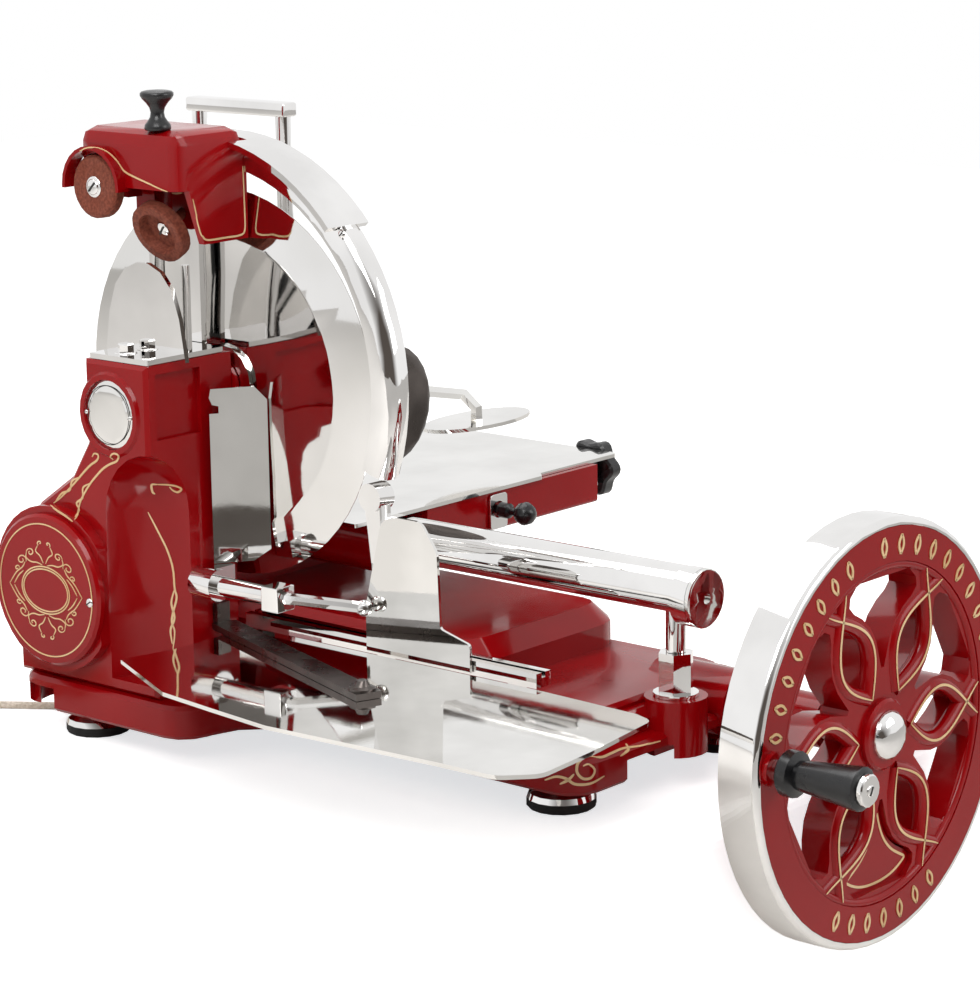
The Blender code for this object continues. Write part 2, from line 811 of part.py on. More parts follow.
def inset(corners, distance):
    """The outline of corners listed counterclockwise, drawn in by a distance."""
    made = []
    count = len(corners)
    for i in range(count):
        here = Vector(corners[i])
        back = (here - Vector(corners[i - 1])).normalized()
        ahead = (Vector(corners[(i + 1) % count]) - here).normalized()
        inward_back = Vector((-back.y, back.x))
        inward_ahead = Vector((-ahead.y, ahead.x))
        middle = (inward_back + inward_ahead).normalized()
        place = here + middle * (distance / middle.dot(inward_back))
        made.append((place.x, place.y))
    return made


def hull_of_circles(centre_a, radius_a, centre_b, radius_b, steps=COARSE):
    """The outline of a belt round two circles, counterclockwise."""
    apart = Vector(centre_b) - Vector(centre_a)
    heading = math.degrees(math.atan2(apart.y, apart.x))
    lean = math.degrees(math.acos((radius_a - radius_b) / apart.length))
    first = arc(centre_a, radius_a, heading + lean, heading + 360.0 - lean, steps)
    second = arc(centre_b, radius_b, heading - lean, heading + lean, steps // 2)
    return first + second


BLADE_AXIS = Vector((0.0, 0.0, BLADE_HEIGHT))
CROSS_AXIS = Vector((0.0, COVER_Y, COVER_HEIGHT))
FLYWHEEL_PIVOT = new_pivot("flywheel_axis", Vector((WHEEL_X, WHEEL_FRONT, WHEEL_HEIGHT)), MACHINE)
GRIP_PLACE = Vector(
    (
        WHEEL_X + HANDLE_DISTANCE * math.cos(math.radians(HANDLE_ANGLE_DEG)),
        WHEEL_FRONT,
        WHEEL_HEIGHT + HANDLE_DISTANCE * math.sin(math.radians(HANDLE_ANGLE_DEG)),
    )
)
GRIP_PIVOT = new_pivot("grip_axis", GRIP_PLACE, MACHINE)
CROSS_PIVOT = new_pivot("cross_shaft_axis", CROSS_AXIS, MACHINE)
BLADE_PIVOT = new_pivot("blade_axis", BLADE_AXIS, MACHINE)
CARRIAGE_PIVOT = new_pivot("carriage_way", Vector((BAR_X, 0.0, BAR_HEIGHT)), MACHINE)
LEVER_PIVOT = new_pivot("lever_axis", Vector((LEVER_X, BOX_NEAR, LEVER_HEIGHT)), MACHINE)
TABLE_PIVOT = new_pivot("table_way", Vector((BOX_LEFT, BOX_NEAR, TABLE_TOP)), MACHINE)
KNOB_PIVOT = new_pivot("feed_axis", Vector((TABLE_RIGHT, KNOB_Y, KNOB_HEIGHT)), MACHINE)
PRESS_PIVOT = new_pivot("press_way", Vector((PRESS_X, PRESS_NEAR, PRESS_BLOCK_LEVEL)), MACHINE)
SHARPENER_PIVOT = new_pivot("sharpener_way", Vector((SHARP_POST_X, SHARP_POST_Y, SHARP_TOP)), MACHINE)
STONE_PIVOT = new_pivot("grinding_axis", Vector((STONE_X, STONE_Y, STONE_HEIGHT)), MACHINE)
TRUER_PIVOT = new_pivot("truing_axis", Vector((TRUER_X, TRUER_Y, TRUER_HEIGHT)), MACHINE)
DEFLECTOR_PIVOT = new_pivot(
    "deflector_way", Vector((DEFLECTOR_FRONT_X, DEFLECTOR_FRONT_Y, DEFLECTOR_BOTTOM)), MACHINE
)


def base_corners():
    return [
        (COLUMN_FRONT - CASTING_ROUND, BASE_FAR),
        (COLUMN_FRONT - CASTING_ROUND, LOBE_NEAR),
        (BASE_LEFT, LOBE_NEAR),
        (BASE_LEFT, BASE_NEAR),
        (BASE_RIGHT, BASE_NEAR),
        (BASE_RIGHT, BASE_FAR),
    ]


def base_plan(distance):
    lobe = BASE_CORNER - distance / 2
    sweep = LOBE_SWEEP + distance / 2
    corner = BASE_CORNER - distance / 2
    return rounded(inset(base_corners(), distance), [corner, lobe, sweep, corner, corner, corner])


def tier_plan(distance):
    """The plan of the steps above the plinth, beside the column."""
    left, right = BASE_LEFT + distance, BASE_RIGHT - distance
    near, far = BASE_NEAR + distance, BASE_FAR - distance
    return rounded([(left, near), (right, near), (right, far), (left, far)], BASE_CORNER)


def block_plan(left, near, right, far, radius):
    return rounded([(left, near), (right, near), (right, far), (left, far)], radius)


def tier(plan, bottom, top, rounding=0.0):
    return plate([plan], top - bottom, (top + bottom) / 2, "Z", rounding)


def base_casting():
    sunk = BASE_WALL
    under = BASE_BOTTOM - OVERRUN
    shell = united(
        tier(base_plan(0.0), BASE_BOTTOM, PLINTH_TOP, CASTING_EDGE),
        tier(tier_plan(STEP_INSET), PLINTH_TOP - sunk, STEP_TOP, CASTING_ROUND),
        tier(tier_plan(DECK_INSET), PLINTH_TOP - sunk, DECK_TOP, CASTING_EDGE),
        tier(block_plan(BED_LEFT, BED_NEAR, BED_RIGHT, BASE_FAR - STEP_INSET, BED_CORNER),
             PLINTH_TOP - sunk, BED_TOP, BED_ROUND),
        box((GEARBOX_LEFT, GEARBOX_NEAR, PLINTH_TOP - sunk),
            (BED_RIGHT, BASE_FAR - CASTING_EDGE, GEARBOX_TOP), CASTING_ROUND),
        cylinder((WHEEL_X - DOME_HALF, COVER_Y, COVER_HEIGHT), "X", DOME_HALF * 2, DOME_RADIUS,
                 segments=ROUND),
    )
    hollow = [
        tier(base_plan(BASE_WALL), under, PLINTH_TOP - BASE_WALL),
        tier(tier_plan(STEP_INSET + BASE_WALL), under, STEP_TOP - BASE_WALL),
        tier(tier_plan(DECK_INSET + BASE_WALL), under, DECK_TOP - BASE_WALL),
        tier(block_plan(BED_LEFT + BASE_WALL, BED_NEAR + BASE_WALL, BED_RIGHT - BASE_WALL,
                        BASE_FAR - STEP_INSET - BASE_WALL, BED_CORNER - BASE_WALL),
             under, BED_TOP - BED_ROUND),
        box((GEARBOX_LEFT + BASE_WALL, GEARBOX_NEAR + BASE_WALL, under),
            (BED_RIGHT - BASE_WALL, BASE_FAR - BASE_WALL, GEARBOX_TOP - GEARBOX_WALL)),
        cylinder((WHEEL_X - GEAR_SLOT_HALF, COVER_Y, COVER_HEIGHT), "X", GEAR_SLOT_HALF * 2,
                 CROSS_GEAR_RADIUS + SIDE_GAP, segments=ROUND),
    ]
    shell = cut(shell, *hollow)
    bosses = [
        cylinder((x, y, BASE_BOTTOM), "Z", PLINTH_TOP - BASE_BOTTOM - CASTING_EDGE, FOOT_BOSS_RADIUS,
                 segments=COARSE)
        for x, y in FOOT_PLACES
    ]
    bosses += [
        cylinder((WHEEL_X, BASE_NEAR - SWELL_PROUD, WHEEL_HEIGHT), "Y", SWELL_LENGTH, SWELL_RADIUS,
                 segments=COARSE),
        cylinder((WHEEL_X, REAR_BOSS_NEAR, WHEEL_HEIGHT), "Y",
                 BASE_FAR - BASE_WALL / 2 - REAR_BOSS_NEAR, REAR_BOSS_RADIUS, segments=COARSE),
        cylinder((GEARBOX_LEFT + BASE_WALL / 2, COVER_Y, COVER_HEIGHT), "X", CROSS_BOSS_LENGTH,
                 CROSS_BOSS_RADIUS, segments=COARSE),
        cylinder((CROSS_SHAFT_RIGHT - CROSS_BOSS_LENGTH / 2, COVER_Y, COVER_HEIGHT), "X",
                 BED_RIGHT - BASE_WALL / 2 - CROSS_SHAFT_RIGHT + CROSS_BOSS_LENGTH / 2,
                 CROSS_BOSS_RADIUS, segments=COARSE),
        cylinder((BAR_X, POST_Y, BASE_BOTTOM + BASE_WALL), "Z", BOSS_TOP - BASE_BOTTOM - BASE_WALL,
                 BOSS_RADIUS, segments=ROUND),
    ]
    shell = united(shell, *bosses)
    bores = [
        cylinder((WHEEL_X, BASE_NEAR - SWELL_PROUD - OVERRUN, WHEEL_HEIGHT), "Y",
                 SWELL_LENGTH + OVERRUN * 2, MAIN_SHAFT_RADIUS + SHAFT_ROOM, segments=COARSE),
        cylinder((WHEEL_X, REAR_BOSS_NEAR - OVERRUN, WHEEL_HEIGHT), "Y",
                 BUSH_LENGTH + SIDE_GAP + OVERRUN, MAIN_SHAFT_RADIUS + BUSH_WALL + FIT_GAP * 2,
                 segments=COARSE),
        cylinder((GEARBOX_LEFT - OVERRUN, COVER_Y, COVER_HEIGHT), "X",
                 CROSS_SHAFT_RIGHT + SIDE_GAP - GEARBOX_LEFT + OVERRUN,
                 CROSS_SHAFT_RADIUS + FIT_GAP, segments=COARSE),
        box((COLUMN_FRONT - SIDE_GAP, COLUMN_NEAR - SIDE_GAP, PLINTH_TOP),
            (COLUMN_BACK + SIDE_GAP, COLUMN_FLARE_FAR + OVERRUN, STEP_TOP + OVERRUN)),
        box((BASE_LEFT + ARCH_INSET + BASE_WALL, BASE_NEAR - OVERRUN, under),
            (BASE_RIGHT - ARCH_INSET - BASE_CORNER, BASE_NEAR + BASE_WALL + OVERRUN, ARCH_TOP)),
        box((COLUMN_FRONT - CASTING_ROUND - OVERRUN, SIDE_ARCH_NEAR, under),
            (COLUMN_FRONT - CASTING_ROUND + BASE_WALL + OVERRUN, SIDE_ARCH_FAR, SIDE_ARCH_TOP)),
    ]
    finished(cut(shell, *bores), "base_casting", "red_enamel")


def flank_outline():
    """The column seen from the side: straight above, flared towards the back below."""
    drop = COLUMN_FLARE_TOP - COLUMN_FLARE_MIDDLE
    spread = COLUMN_FLARE_FAR - COLUMN_FAR
    flank = [
        (COLUMN_FAR + spread * (1 - out), COLUMN_FLARE_TOP - drop * down)
        for down, out in FLANK_SHARES
    ]
    bottom = PLINTH_TOP + FIT_GAP
    return (
        [(COLUMN_NEAR, COLUMN_TOP), (COLUMN_NEAR, bottom), (COLUMN_FLARE_FAR, bottom)]
        + list(reversed(flank))
        + [(COLUMN_FAR, COLUMN_TOP)]
    )


def column_casting():
    middle = (COLUMN_FRONT + COLUMN_BACK) / 2
    body = plate([flank_outline()], COLUMN_BACK - COLUMN_FRONT, middle, "X", CASTING_EDGE)
    body = united(
        body,
        cylinder((COLUMN_FRONT - HOUSING_DEPTH, COVER_Y, COVER_HEIGHT), "X",
                 HOUSING_DEPTH + CASTING_ROUND * 2, HOUSING_RADIUS, segments=FINE),
        turned([(0.0, 0.0), (0.0, BLADE_BOSS_RADIUS), (BLADE_BOSS_LENGTH, BLADE_BOSS_RADIUS),
                (BLADE_BOSS_LENGTH, 0.0)],
               (COLUMN_BACK - EMBED, 0.0, BLADE_HEIGHT), "X", COARSE),
        turned([(-BADGE_RIM_PROUD, 0.0), (-BADGE_RIM_PROUD, BADGE_RIM_RADIUS - EMBED),
                (0.0, BADGE_RIM_RADIUS), (EMBED, BADGE_RIM_RADIUS), (EMBED, 0.0)],
               (COLUMN_FRONT, BADGE_Y, BADGE_HEIGHT), "X", ROUND),
    )
    scoop_bottom = PLINTH_TOP + SCOOP_FLOOR
    ball = SCOOP_TOP - SCOOP_RADIUS
    dome = [
        (ball - scoop_bottom + SCOOP_RADIUS * math.sin(math.radians(a)),
         SCOOP_RADIUS * math.cos(math.radians(a)))
        for a in range(0, 91, 15)
    ]
    slot_room = CHAIN_THICKNESS + CHAIN_TOOTH + SIDE_GAP
    chain_slot = hull_of_circles(
        (COVER_Y, COVER_HEIGHT), DRIVE_WHEEL_RADIUS + slot_room * 2,
        (0.0, BLADE_HEIGHT), BLADE_WHEEL_RADIUS + slot_room,
    )
    slot_half = CHAIN_WIDTH / 2 + SIDE_GAP
    hollows = [
        turned([(0.0, 0.0), (0.0, SCOOP_RADIUS)] + dome, (SCOOP_X, SCOOP_Y, scoop_bottom), "Z", FINE),
        box((COLUMN_FRONT + PANEL_INSET, COLUMN_NEAR - OVERRUN, PANEL_MIDDLE - PANEL_HEIGHT / 2),
            (COLUMN_FRONT + PANEL_INSET + PANEL_WIDTH, COLUMN_NEAR + PANEL_DEPTH,
             PANEL_MIDDLE + PANEL_HEIGHT / 2)),
        cylinder((COLUMN_FRONT - BADGE_RIM_PROUD - OVERRUN, BADGE_Y, BADGE_HEIGHT), "X",
                 BADGE_SEAT_DEPTH + BADGE_RIM_PROUD + OVERRUN, BADGE_RADIUS + FIT_GAP, segments=ROUND),
        cylinder((COLUMN_FRONT - HOUSING_DEPTH - OVERRUN, COVER_Y, COVER_HEIGHT), "X",
                 CHAIN_PLANE + slot_half - COLUMN_FRONT + HOUSING_DEPTH + OVERRUN,
                 DRIVE_WHEEL_RADIUS + slot_room * 2, segments=ROUND),
        plate([chain_slot], slot_half * 2, CHAIN_PLANE, "X"),
        cylinder((CHAIN_PLANE, COVER_Y, COVER_HEIGHT), "X", COLUMN_BACK - CHAIN_PLANE + OVERRUN,
                 CROSS_SHAFT_RADIUS + FIT_GAP, segments=COARSE),
        cylinder((CHAIN_PLANE, 0.0, BLADE_HEIGHT), "X", COLUMN_BACK - CHAIN_PLANE + OVERRUN,
                 BLADE_SHAFT_RADIUS + BLADE_BUSH_WALL + FIT_GAP * 2, segments=COARSE),
    ]
    finished(cut(body, *hollows), "column_casting", "red_enamel")


def round_cover():
    disc = turned(
        [(0.0, 0.0), (0.0, COVER_RADIUS - COVER_EDGE), (COVER_EDGE, COVER_RADIUS),
         (COVER_THICKNESS, COVER_RADIUS), (COVER_THICKNESS, 0.0)],
        (COLUMN_FRONT - HOUSING_DEPTH - FIT_GAP - COVER_THICKNESS, COVER_Y, COVER_HEIGHT), "X", FINE)
    finished(disc, "round_cover", "red_enamel")


def badge_disc():
    disc = turned(
        [(0.0, 0.0), (0.0, BADGE_RADIUS * 3 / 4), (BADGE_THICKNESS / 2, BADGE_RADIUS),
         (BADGE_THICKNESS, BADGE_RADIUS), (BADGE_THICKNESS, 0.0)],
        (COLUMN_FRONT + BADGE_SEAT_DEPTH - FIT_GAP - BADGE_THICKNESS, BADGE_Y, BADGE_HEIGHT), "X",
        ROUND)
    finished(disc, "badge_disc", "polished_steel")


def feet():
    for number, (x, y) in enumerate(FOOT_PLACES, start=1):
        pad = turned(
            [(0.0, 0.0), (0.0, FOOT_RADIUS - FOOT_PAD_STEP), (FOOT_PAD_STEP, FOOT_RADIUS),
             (FOOT_PAD_HEIGHT, FOOT_RADIUS), (FOOT_PAD_HEIGHT, 0.0)],
            (x, y, 0.0), "Z", COARSE)
        finished(pad, f"foot_pad_{number}", "black_rubber")
        bottom = FOOT_PAD_HEIGHT + FIT_GAP
        height = BASE_BOTTOM - FIT_GAP - bottom
        dome = turned(
            [(0.0, 0.0), (0.0, FOOT_RADIUS), (height / 3, FOOT_RADIUS - FOOT_PAD_STEP),
             (height * 2 / 3, FOOT_TOP_RADIUS), (height, FOOT_NECK_RADIUS), (height, 0.0)],
            (x, y, bottom), "Z", COARSE)
        finished(dome, f"foot_dome_{number}", "chrome")


def gear_outline(centre, tip_radius, tooth_depth, teeth):
    """A gear's outline: each tooth has a root, two flanks and a tip land."""
    points = []
    for tooth in range(teeth):
        for share, radius in zip(TOOTH_SHARES, (tip_radius - tooth_depth, tip_radius - tooth_depth,
                                                tip_radius, tip_radius)):
            angle = math.tau * (tooth + share) / teeth
            points.append((centre[0] + radius * math.cos(angle), centre[1] + radius * math.sin(angle)))
    return points


def flywheel_rim():
    back = WHEEL_WIDTH
    rim = turned(
        [(0.0, RIM_RADIUS - RIM_BAND + RIM_LIP), (RIM_LIP / 3, RIM_RADIUS - RIM_LIP),
         (RIM_LIP, RIM_RADIUS - RIM_LIP / 3), (RIM_LIP * 2, RIM_RADIUS), (back, RIM_RADIUS),
         (back, RIM_RADIUS - RIM_BAND), (RIM_LIP, RIM_RADIUS - RIM_BAND),
         (0.0, RIM_RADIUS - RIM_BAND)],
        (WHEEL_X, WHEEL_FRONT, WHEEL_HEIGHT), "Y", WHEEL_STEPS, ring=True)
    finished(rim, "flywheel_rim", "chrome", FLYWHEEL_PIVOT)


def petal_hole(turn_deg):
    """The lens inside one petal, from its inner to its outer point."""
    points = []
    for side in (1, -1):
        for step in range(PETAL_STEPS):
            along = step / PETAL_STEPS if side > 0 else 1 - step / PETAL_STEPS
            out = PETAL_INNER + PETAL_RIDGE + (PETAL_OUTER - PETAL_INNER - PETAL_RIDGE * 2) * along
            across = side * (PETAL_HALF_WIDTH - PETAL_RIDGE) * math.sin(math.pi * along)
            points.append(Matrix.Rotation(math.radians(turn_deg), 2) @ Vector((out, across)))
    return [(WHEEL_X + p.x, WHEEL_HEIGHT + p.y) for p in points]


def petal_gap(turn_deg, grow=0.0):
    """The opening between two petals, seen from the front."""
    half = 180.0 / PETAL_COUNT
    points = []
    for out, wide in GAP_SIDE_SHARES:
        points.append((WINDOW_OUTER * out + grow * (out - wide), half * wide))
    mirrored = [(radius, -angle) for radius, angle in reversed(points)]
    made = []
    for radius, angle in mirrored + points:
        bearing = math.radians(turn_deg + angle)
        made.append((WHEEL_X + radius * math.cos(bearing), WHEEL_HEIGHT + radius * math.sin(bearing)))
    return made


def flywheel_web():
    front = WHEEL_FRONT + WEB_SET_BACK
    middle = front + WEB_DEPTH / 2
    pitch = 360.0 / PETAL_COUNT
    holes = [petal_hole(pitch * i) for i in range(PETAL_COUNT)]
    gaps = [pitch * (i + 0.5) for i in range(PETAL_COUNT)]
    fan_at = 270.0
    holes += [petal_gap(at) for at in gaps if abs(at - fan_at) > pitch / 4]
    spokes = plate([circle((WHEEL_X, WHEEL_HEIGHT), WINDOW_OUTER + FACE_WIDTH / 2, WHEEL_STEPS)] + holes,
                   WEB_DEPTH, middle, "Y")
    face_inner = RIM_RADIUS - RIM_BAND - FIT_GAP - FACE_WIDTH
    face_outer = RIM_RADIUS - RIM_BAND - FIT_GAP
    depth = WHEEL_WIDTH - WEB_SET_BACK
    face = turned(
        [(0.0, face_inner), (0.0, face_outer), (depth, face_outer), (depth, face_inner)],
        (WHEEL_X, WHEEL_FRONT, WHEEL_HEIGHT), "Y", WHEEL_STEPS, ring=True)
    hub = turned(
        [(0.0, 0.0), (0.0, HUB_RADIUS - EMBED), (EMBED, HUB_RADIUS),
         (WHEEL_WIDTH + HUB_PROUD * 2, HUB_RADIUS), (WHEEL_WIDTH + HUB_PROUD * 2, 0.0)],
        (WHEEL_X, WHEEL_FRONT - HUB_PROUD, WHEEL_HEIGHT), "Y", ROUND)
    boss = cylinder((GRIP_PLACE.x, WHEEL_FRONT - HUB_PROUD * 2, GRIP_PLACE.z), "Y",
                    HUB_PROUD * 2 + WEB_DEPTH / 2, HANDLE_BOSS_RADIUS, segments=COARSE)
    web = united(spokes, face, hub, boss)
    fan_sink = WEB_DEPTH - FAN_THICKNESS
    web = cut(
        web,
        plate([petal_gap(fan_at)], fan_sink, front + fan_sink / 2 - FAN_THICKNESS / 2, "Y"),
        cylinder((WHEEL_X, SHAFT_NEAR - SIDE_GAP, WHEEL_HEIGHT), "Y",
                 WHEEL_FRONT + WHEEL_WIDTH + HUB_PROUD + OVERRUN - SHAFT_NEAR,
                 MAIN_SHAFT_RADIUS + FIT_GAP, segments=COARSE),
        cylinder((GRIP_PLACE.x, WHEEL_FRONT - HUB_PROUD * 2 - OVERRUN, GRIP_PLACE.z), "Y",
                 STUD_SEAT + OVERRUN, STUD_RADIUS + FIT_GAP, segments=SMALL),
    )
    finished(web, "flywheel_web", "red_enamel", FLYWHEEL_PIVOT)


def main_shaft():
    rod = cylinder((WHEEL_X, SHAFT_NEAR, WHEEL_HEIGHT), "Y", MAIN_SHAFT_FAR - SHAFT_NEAR,
                   MAIN_SHAFT_RADIUS, segments=COARSE)
    finished(rod, "main_shaft", "polished_steel", FLYWHEEL_PIVOT)


def hub_cap():
    dome = [
        (HUB_CAP_HEIGHT * (1 - math.sin(math.radians(a))), HUB_CAP_RADIUS * math.cos(math.radians(a)))
        for a in range(90, -1, -18)
    ]
    cap = turned(dome + [(HUB_CAP_HEIGHT + HUB_PROUD / 2, HUB_CAP_RADIUS),
        (HUB_CAP_HEIGHT + HUB_PROUD / 2, 0.0)],
                 (WHEEL_X, WHEEL_FRONT - HUB_PROUD - FIT_GAP - HUB_CAP_HEIGHT - HUB_PROUD / 2,
                 WHEEL_HEIGHT),
                 "Y", COARSE)
    finished(cap, "hub_cap", "chrome", FLYWHEEL_PIVOT)


def handle():
    seat = WHEEL_FRONT - HUB_PROUD * 2
    stud_near = seat - FIT_GAP - STUD_COLLAR_LENGTH - GRIP_LENGTH - FIT_GAP * 2
    collar = cylinder((GRIP_PLACE.x, seat - FIT_GAP - STUD_COLLAR_LENGTH, GRIP_PLACE.z), "Y",
                      STUD_COLLAR_LENGTH, STUD_COLLAR_RADIUS, segments=COARSE)
    rod = cylinder((GRIP_PLACE.x, stud_near, GRIP_PLACE.z), "Y",
                   seat + STUD_SEAT - SIDE_GAP - stud_near, STUD_RADIUS, segments=SMALL)
    finished(united(collar, rod), "handle_stud", "chrome", FLYWHEEL_PIVOT)
    bore = STUD_RADIUS + FIT_GAP
    grip_far = seat - FIT_GAP * 2 - STUD_COLLAR_LENGTH
    grip = turned(
        [(0.0, bore), (0.0, GRIP_CAP_RADIUS), (GRIP_EDGE, GRIP_END_RADIUS),
        (GRIP_EDGE * 3, GRIP_END_RADIUS),
         (GRIP_LENGTH - GRIP_FLANGE_LENGTH, GRIP_NECK_RADIUS),
         (GRIP_LENGTH - GRIP_FLANGE_LENGTH + GRIP_EDGE, GRIP_FLANGE_RADIUS),
         (GRIP_LENGTH - GRIP_EDGE, GRIP_FLANGE_RADIUS), (GRIP_LENGTH, GRIP_FLANGE_RADIUS - GRIP_EDGE),
         (GRIP_LENGTH, bore)],
        (GRIP_PLACE.x, grip_far - GRIP_LENGTH, GRIP_PLACE.z), "Y", COARSE, ring=True)
    finished(grip, "handle_grip", "black_plastic", GRIP_PIVOT)
    cap = turned(
        [(0.0, 0.0), (0.0, GRIP_CAP_RADIUS - GRIP_EDGE / 2), (GRIP_EDGE / 2, GRIP_CAP_RADIUS),
         (GRIP_CAP_THICKNESS, GRIP_CAP_RADIUS), (GRIP_CAP_THICKNESS, 0.0)],
        (GRIP_PLACE.x, stud_near - FIT_GAP - GRIP_CAP_THICKNESS, GRIP_PLACE.z), "Y", COARSE)
    finished(cap, "handle_cap", "chrome", FLYWHEEL_PIVOT)


def shaft_housing_and_bushes():
    base_face = BASE_NEAR - SWELL_PROUD
    length = base_face - FIT_GAP - SHAFT_HOUSING_NEAR
    inner = MAIN_SHAFT_RADIUS + BUSH_WALL + FIT_GAP * 2
    pipe = turned(
        [(0.0, inner), (0.0, SHAFT_HOUSING_RADIUS),
         (length - SHAFT_HOUSING_COLLAR_LENGTH, SHAFT_HOUSING_RADIUS),
         (length - SHAFT_HOUSING_COLLAR_LENGTH + EMBED, SHAFT_HOUSING_COLLAR),
         (length, SHAFT_HOUSING_COLLAR), (length, inner)],
        (WHEEL_X, SHAFT_HOUSING_NEAR, WHEEL_HEIGHT), "Y", ROUND, ring=True)
    finished(pipe, "shaft_housing", "red_enamel")
    for name, near in (("front_bush", SHAFT_HOUSING_NEAR), ("rear_bush", REAR_BOSS_NEAR)):
        bush = turned(
            [(0.0, MAIN_SHAFT_RADIUS + FIT_GAP), (0.0, MAIN_SHAFT_RADIUS + BUSH_WALL + FIT_GAP),
             (BUSH_LENGTH, MAIN_SHAFT_RADIUS + BUSH_WALL + FIT_GAP),
             (BUSH_LENGTH, MAIN_SHAFT_RADIUS + FIT_GAP)],
            (WHEEL_X, near, WHEEL_HEIGHT), "Y", COARSE, ring=True)
        finished(bush, name, "brass")


def gears_and_chain():
    drive = plate(
        [gear_outline((WHEEL_X, WHEEL_HEIGHT), DRIVE_GEAR_RADIUS, GEAR_TOOTH, DRIVE_GEAR_TEETH),
         circle((WHEEL_X, WHEEL_HEIGHT), MAIN_SHAFT_RADIUS + FIT_GAP, COARSE)],
        DRIVE_GEAR_WIDTH, COVER_Y, "Y")
    finished(drive, "drive_gear", "polished_steel", FLYWHEEL_PIVOT)
    shaft = cylinder((CROSS_SHAFT_LEFT, COVER_Y, COVER_HEIGHT), "X", CROSS_SHAFT_RIGHT - CROSS_SHAFT_LEFT,
                     CROSS_SHAFT_RADIUS, segments=COARSE)
    finished(shaft, "cross_shaft", "polished_steel", CROSS_PIVOT)
    centre = (COVER_Y, COVER_HEIGHT)
    bore = circle(centre, CROSS_SHAFT_RADIUS + FIT_GAP, COARSE)
    cross = plate([gear_outline(centre, CROSS_GEAR_RADIUS, GEAR_TOOTH, CROSS_GEAR_TEETH), bore],
                  CROSS_GEAR_WIDTH, WHEEL_X, "X")
    finished(cross, "cross_gear", "polished_steel", CROSS_PIVOT)
    wheel_width = CHAIN_WIDTH - SIDE_GAP
    sprocket = plate(
        [gear_outline(centre, DRIVE_WHEEL_RADIUS + CHAIN_TOOTH, CHAIN_TOOTH, DRIVE_WHEEL_TEETH), bore],
        wheel_width, CHAIN_PLANE, "X")
    finished(sprocket, "drive_sprocket", "polished_steel", CROSS_PIVOT)
    top = (0.0, BLADE_HEIGHT)
    driven = plate(
        [gear_outline(top, BLADE_WHEEL_RADIUS + CHAIN_TOOTH, CHAIN_TOOTH, BLADE_WHEEL_TEETH),
         circle(top, BLADE_SHAFT_RADIUS + FIT_GAP, SMALL)],
        wheel_width, CHAIN_PLANE, "X")
    finished(driven, "driven_sprocket", "polished_steel", BLADE_PIVOT)
    inner = CHAIN_TOOTH + FIT_GAP
    outer = inner + CHAIN_THICKNESS
    loop = plate(
        [hull_of_circles(centre, DRIVE_WHEEL_RADIUS + outer, top, BLADE_WHEEL_RADIUS + outer),
         hull_of_circles(centre, DRIVE_WHEEL_RADIUS + inner, top, BLADE_WHEEL_RADIUS + inner)],
        CHAIN_WIDTH - SIDE_GAP, CHAIN_PLANE, "X")
    finished(loop, "drive_chain", "dark_steel")


def blade_and_shaft():
    bore = BLADE_SHAFT_RADIUS + FIT_GAP
    steps = [(0.0, bore), (0.0, BLADE_RADIUS * DISH_SHARES[0][0])]
    steps += [(DISH_DEPTH * deep, BLADE_RADIUS * out) for out, deep in DISH_SHARES[1:]]
    steps += [
        (0.0, BLADE_RADIUS - BEVEL_WIDTH),
        (BLADE_THICKNESS - BLADE_EDGE_THICKNESS, BLADE_RADIUS),
        (BLADE_THICKNESS, BLADE_RADIUS),
        (BLADE_THICKNESS, bore),
    ]
    disc = turned(steps, (0.0, 0.0, BLADE_HEIGHT), "X", BLADE_STEPS, ring=True)
    finished(disc, "blade", "polished_steel", BLADE_PIVOT)
    flange_left = -HUB_FLANGE_THICKNESS - FIT_GAP
    shaft = turned(
        [(0.0, 0.0), (0.0, BLADE_SHAFT_RADIUS), (flange_left - BLADE_SHAFT_LEFT, BLADE_SHAFT_RADIUS),
         (flange_left - BLADE_SHAFT_LEFT, HUB_FLANGE_RADIUS),
         (-FIT_GAP - BLADE_SHAFT_LEFT, HUB_FLANGE_RADIUS),
         (-FIT_GAP - BLADE_SHAFT_LEFT, BLADE_SHAFT_RADIUS),
         (BLADE_THICKNESS + FIT_GAP - BLADE_SHAFT_LEFT, BLADE_SHAFT_RADIUS),
         (BLADE_THICKNESS + FIT_GAP - BLADE_SHAFT_LEFT, HUB_NUT_RADIUS),
         (BLADE_THICKNESS + HUB_NUT_THICKNESS - BLADE_SHAFT_LEFT, HUB_NUT_RADIUS),
         (BLADE_THICKNESS + HUB_NUT_THICKNESS - BLADE_SHAFT_LEFT, 0.0)],
        (BLADE_SHAFT_LEFT, 0.0, BLADE_HEIGHT), "X", COARSE)
    finished(shaft, "blade_shaft", "polished_steel", BLADE_PIVOT)
    bush = turned(
        [(0.0, BLADE_SHAFT_RADIUS + FIT_GAP), (0.0, BLADE_SHAFT_RADIUS + BLADE_BUSH_WALL + FIT_GAP),
         (BLADE_BUSH_LENGTH, BLADE_SHAFT_RADIUS + BLADE_BUSH_WALL + FIT_GAP),
         (BLADE_BUSH_LENGTH, BLADE_SHAFT_RADIUS + FIT_GAP)],
        (COLUMN_BACK - BLADE_BUSH_LENGTH, 0.0, BLADE_HEIGHT), "X", COARSE, ring=True)
    finished(bush, "blade_bush", "brass")


def guard_sector(start_deg, end_deg, reach):
    """The wedge of the blade's plane in which a stretch of the guard lies."""
    centre = (GUARD_Y, GUARD_HEIGHT)
    return [centre] + arc(centre, reach, 180.0 - start_deg, 180.0 - end_deg, SMALL)


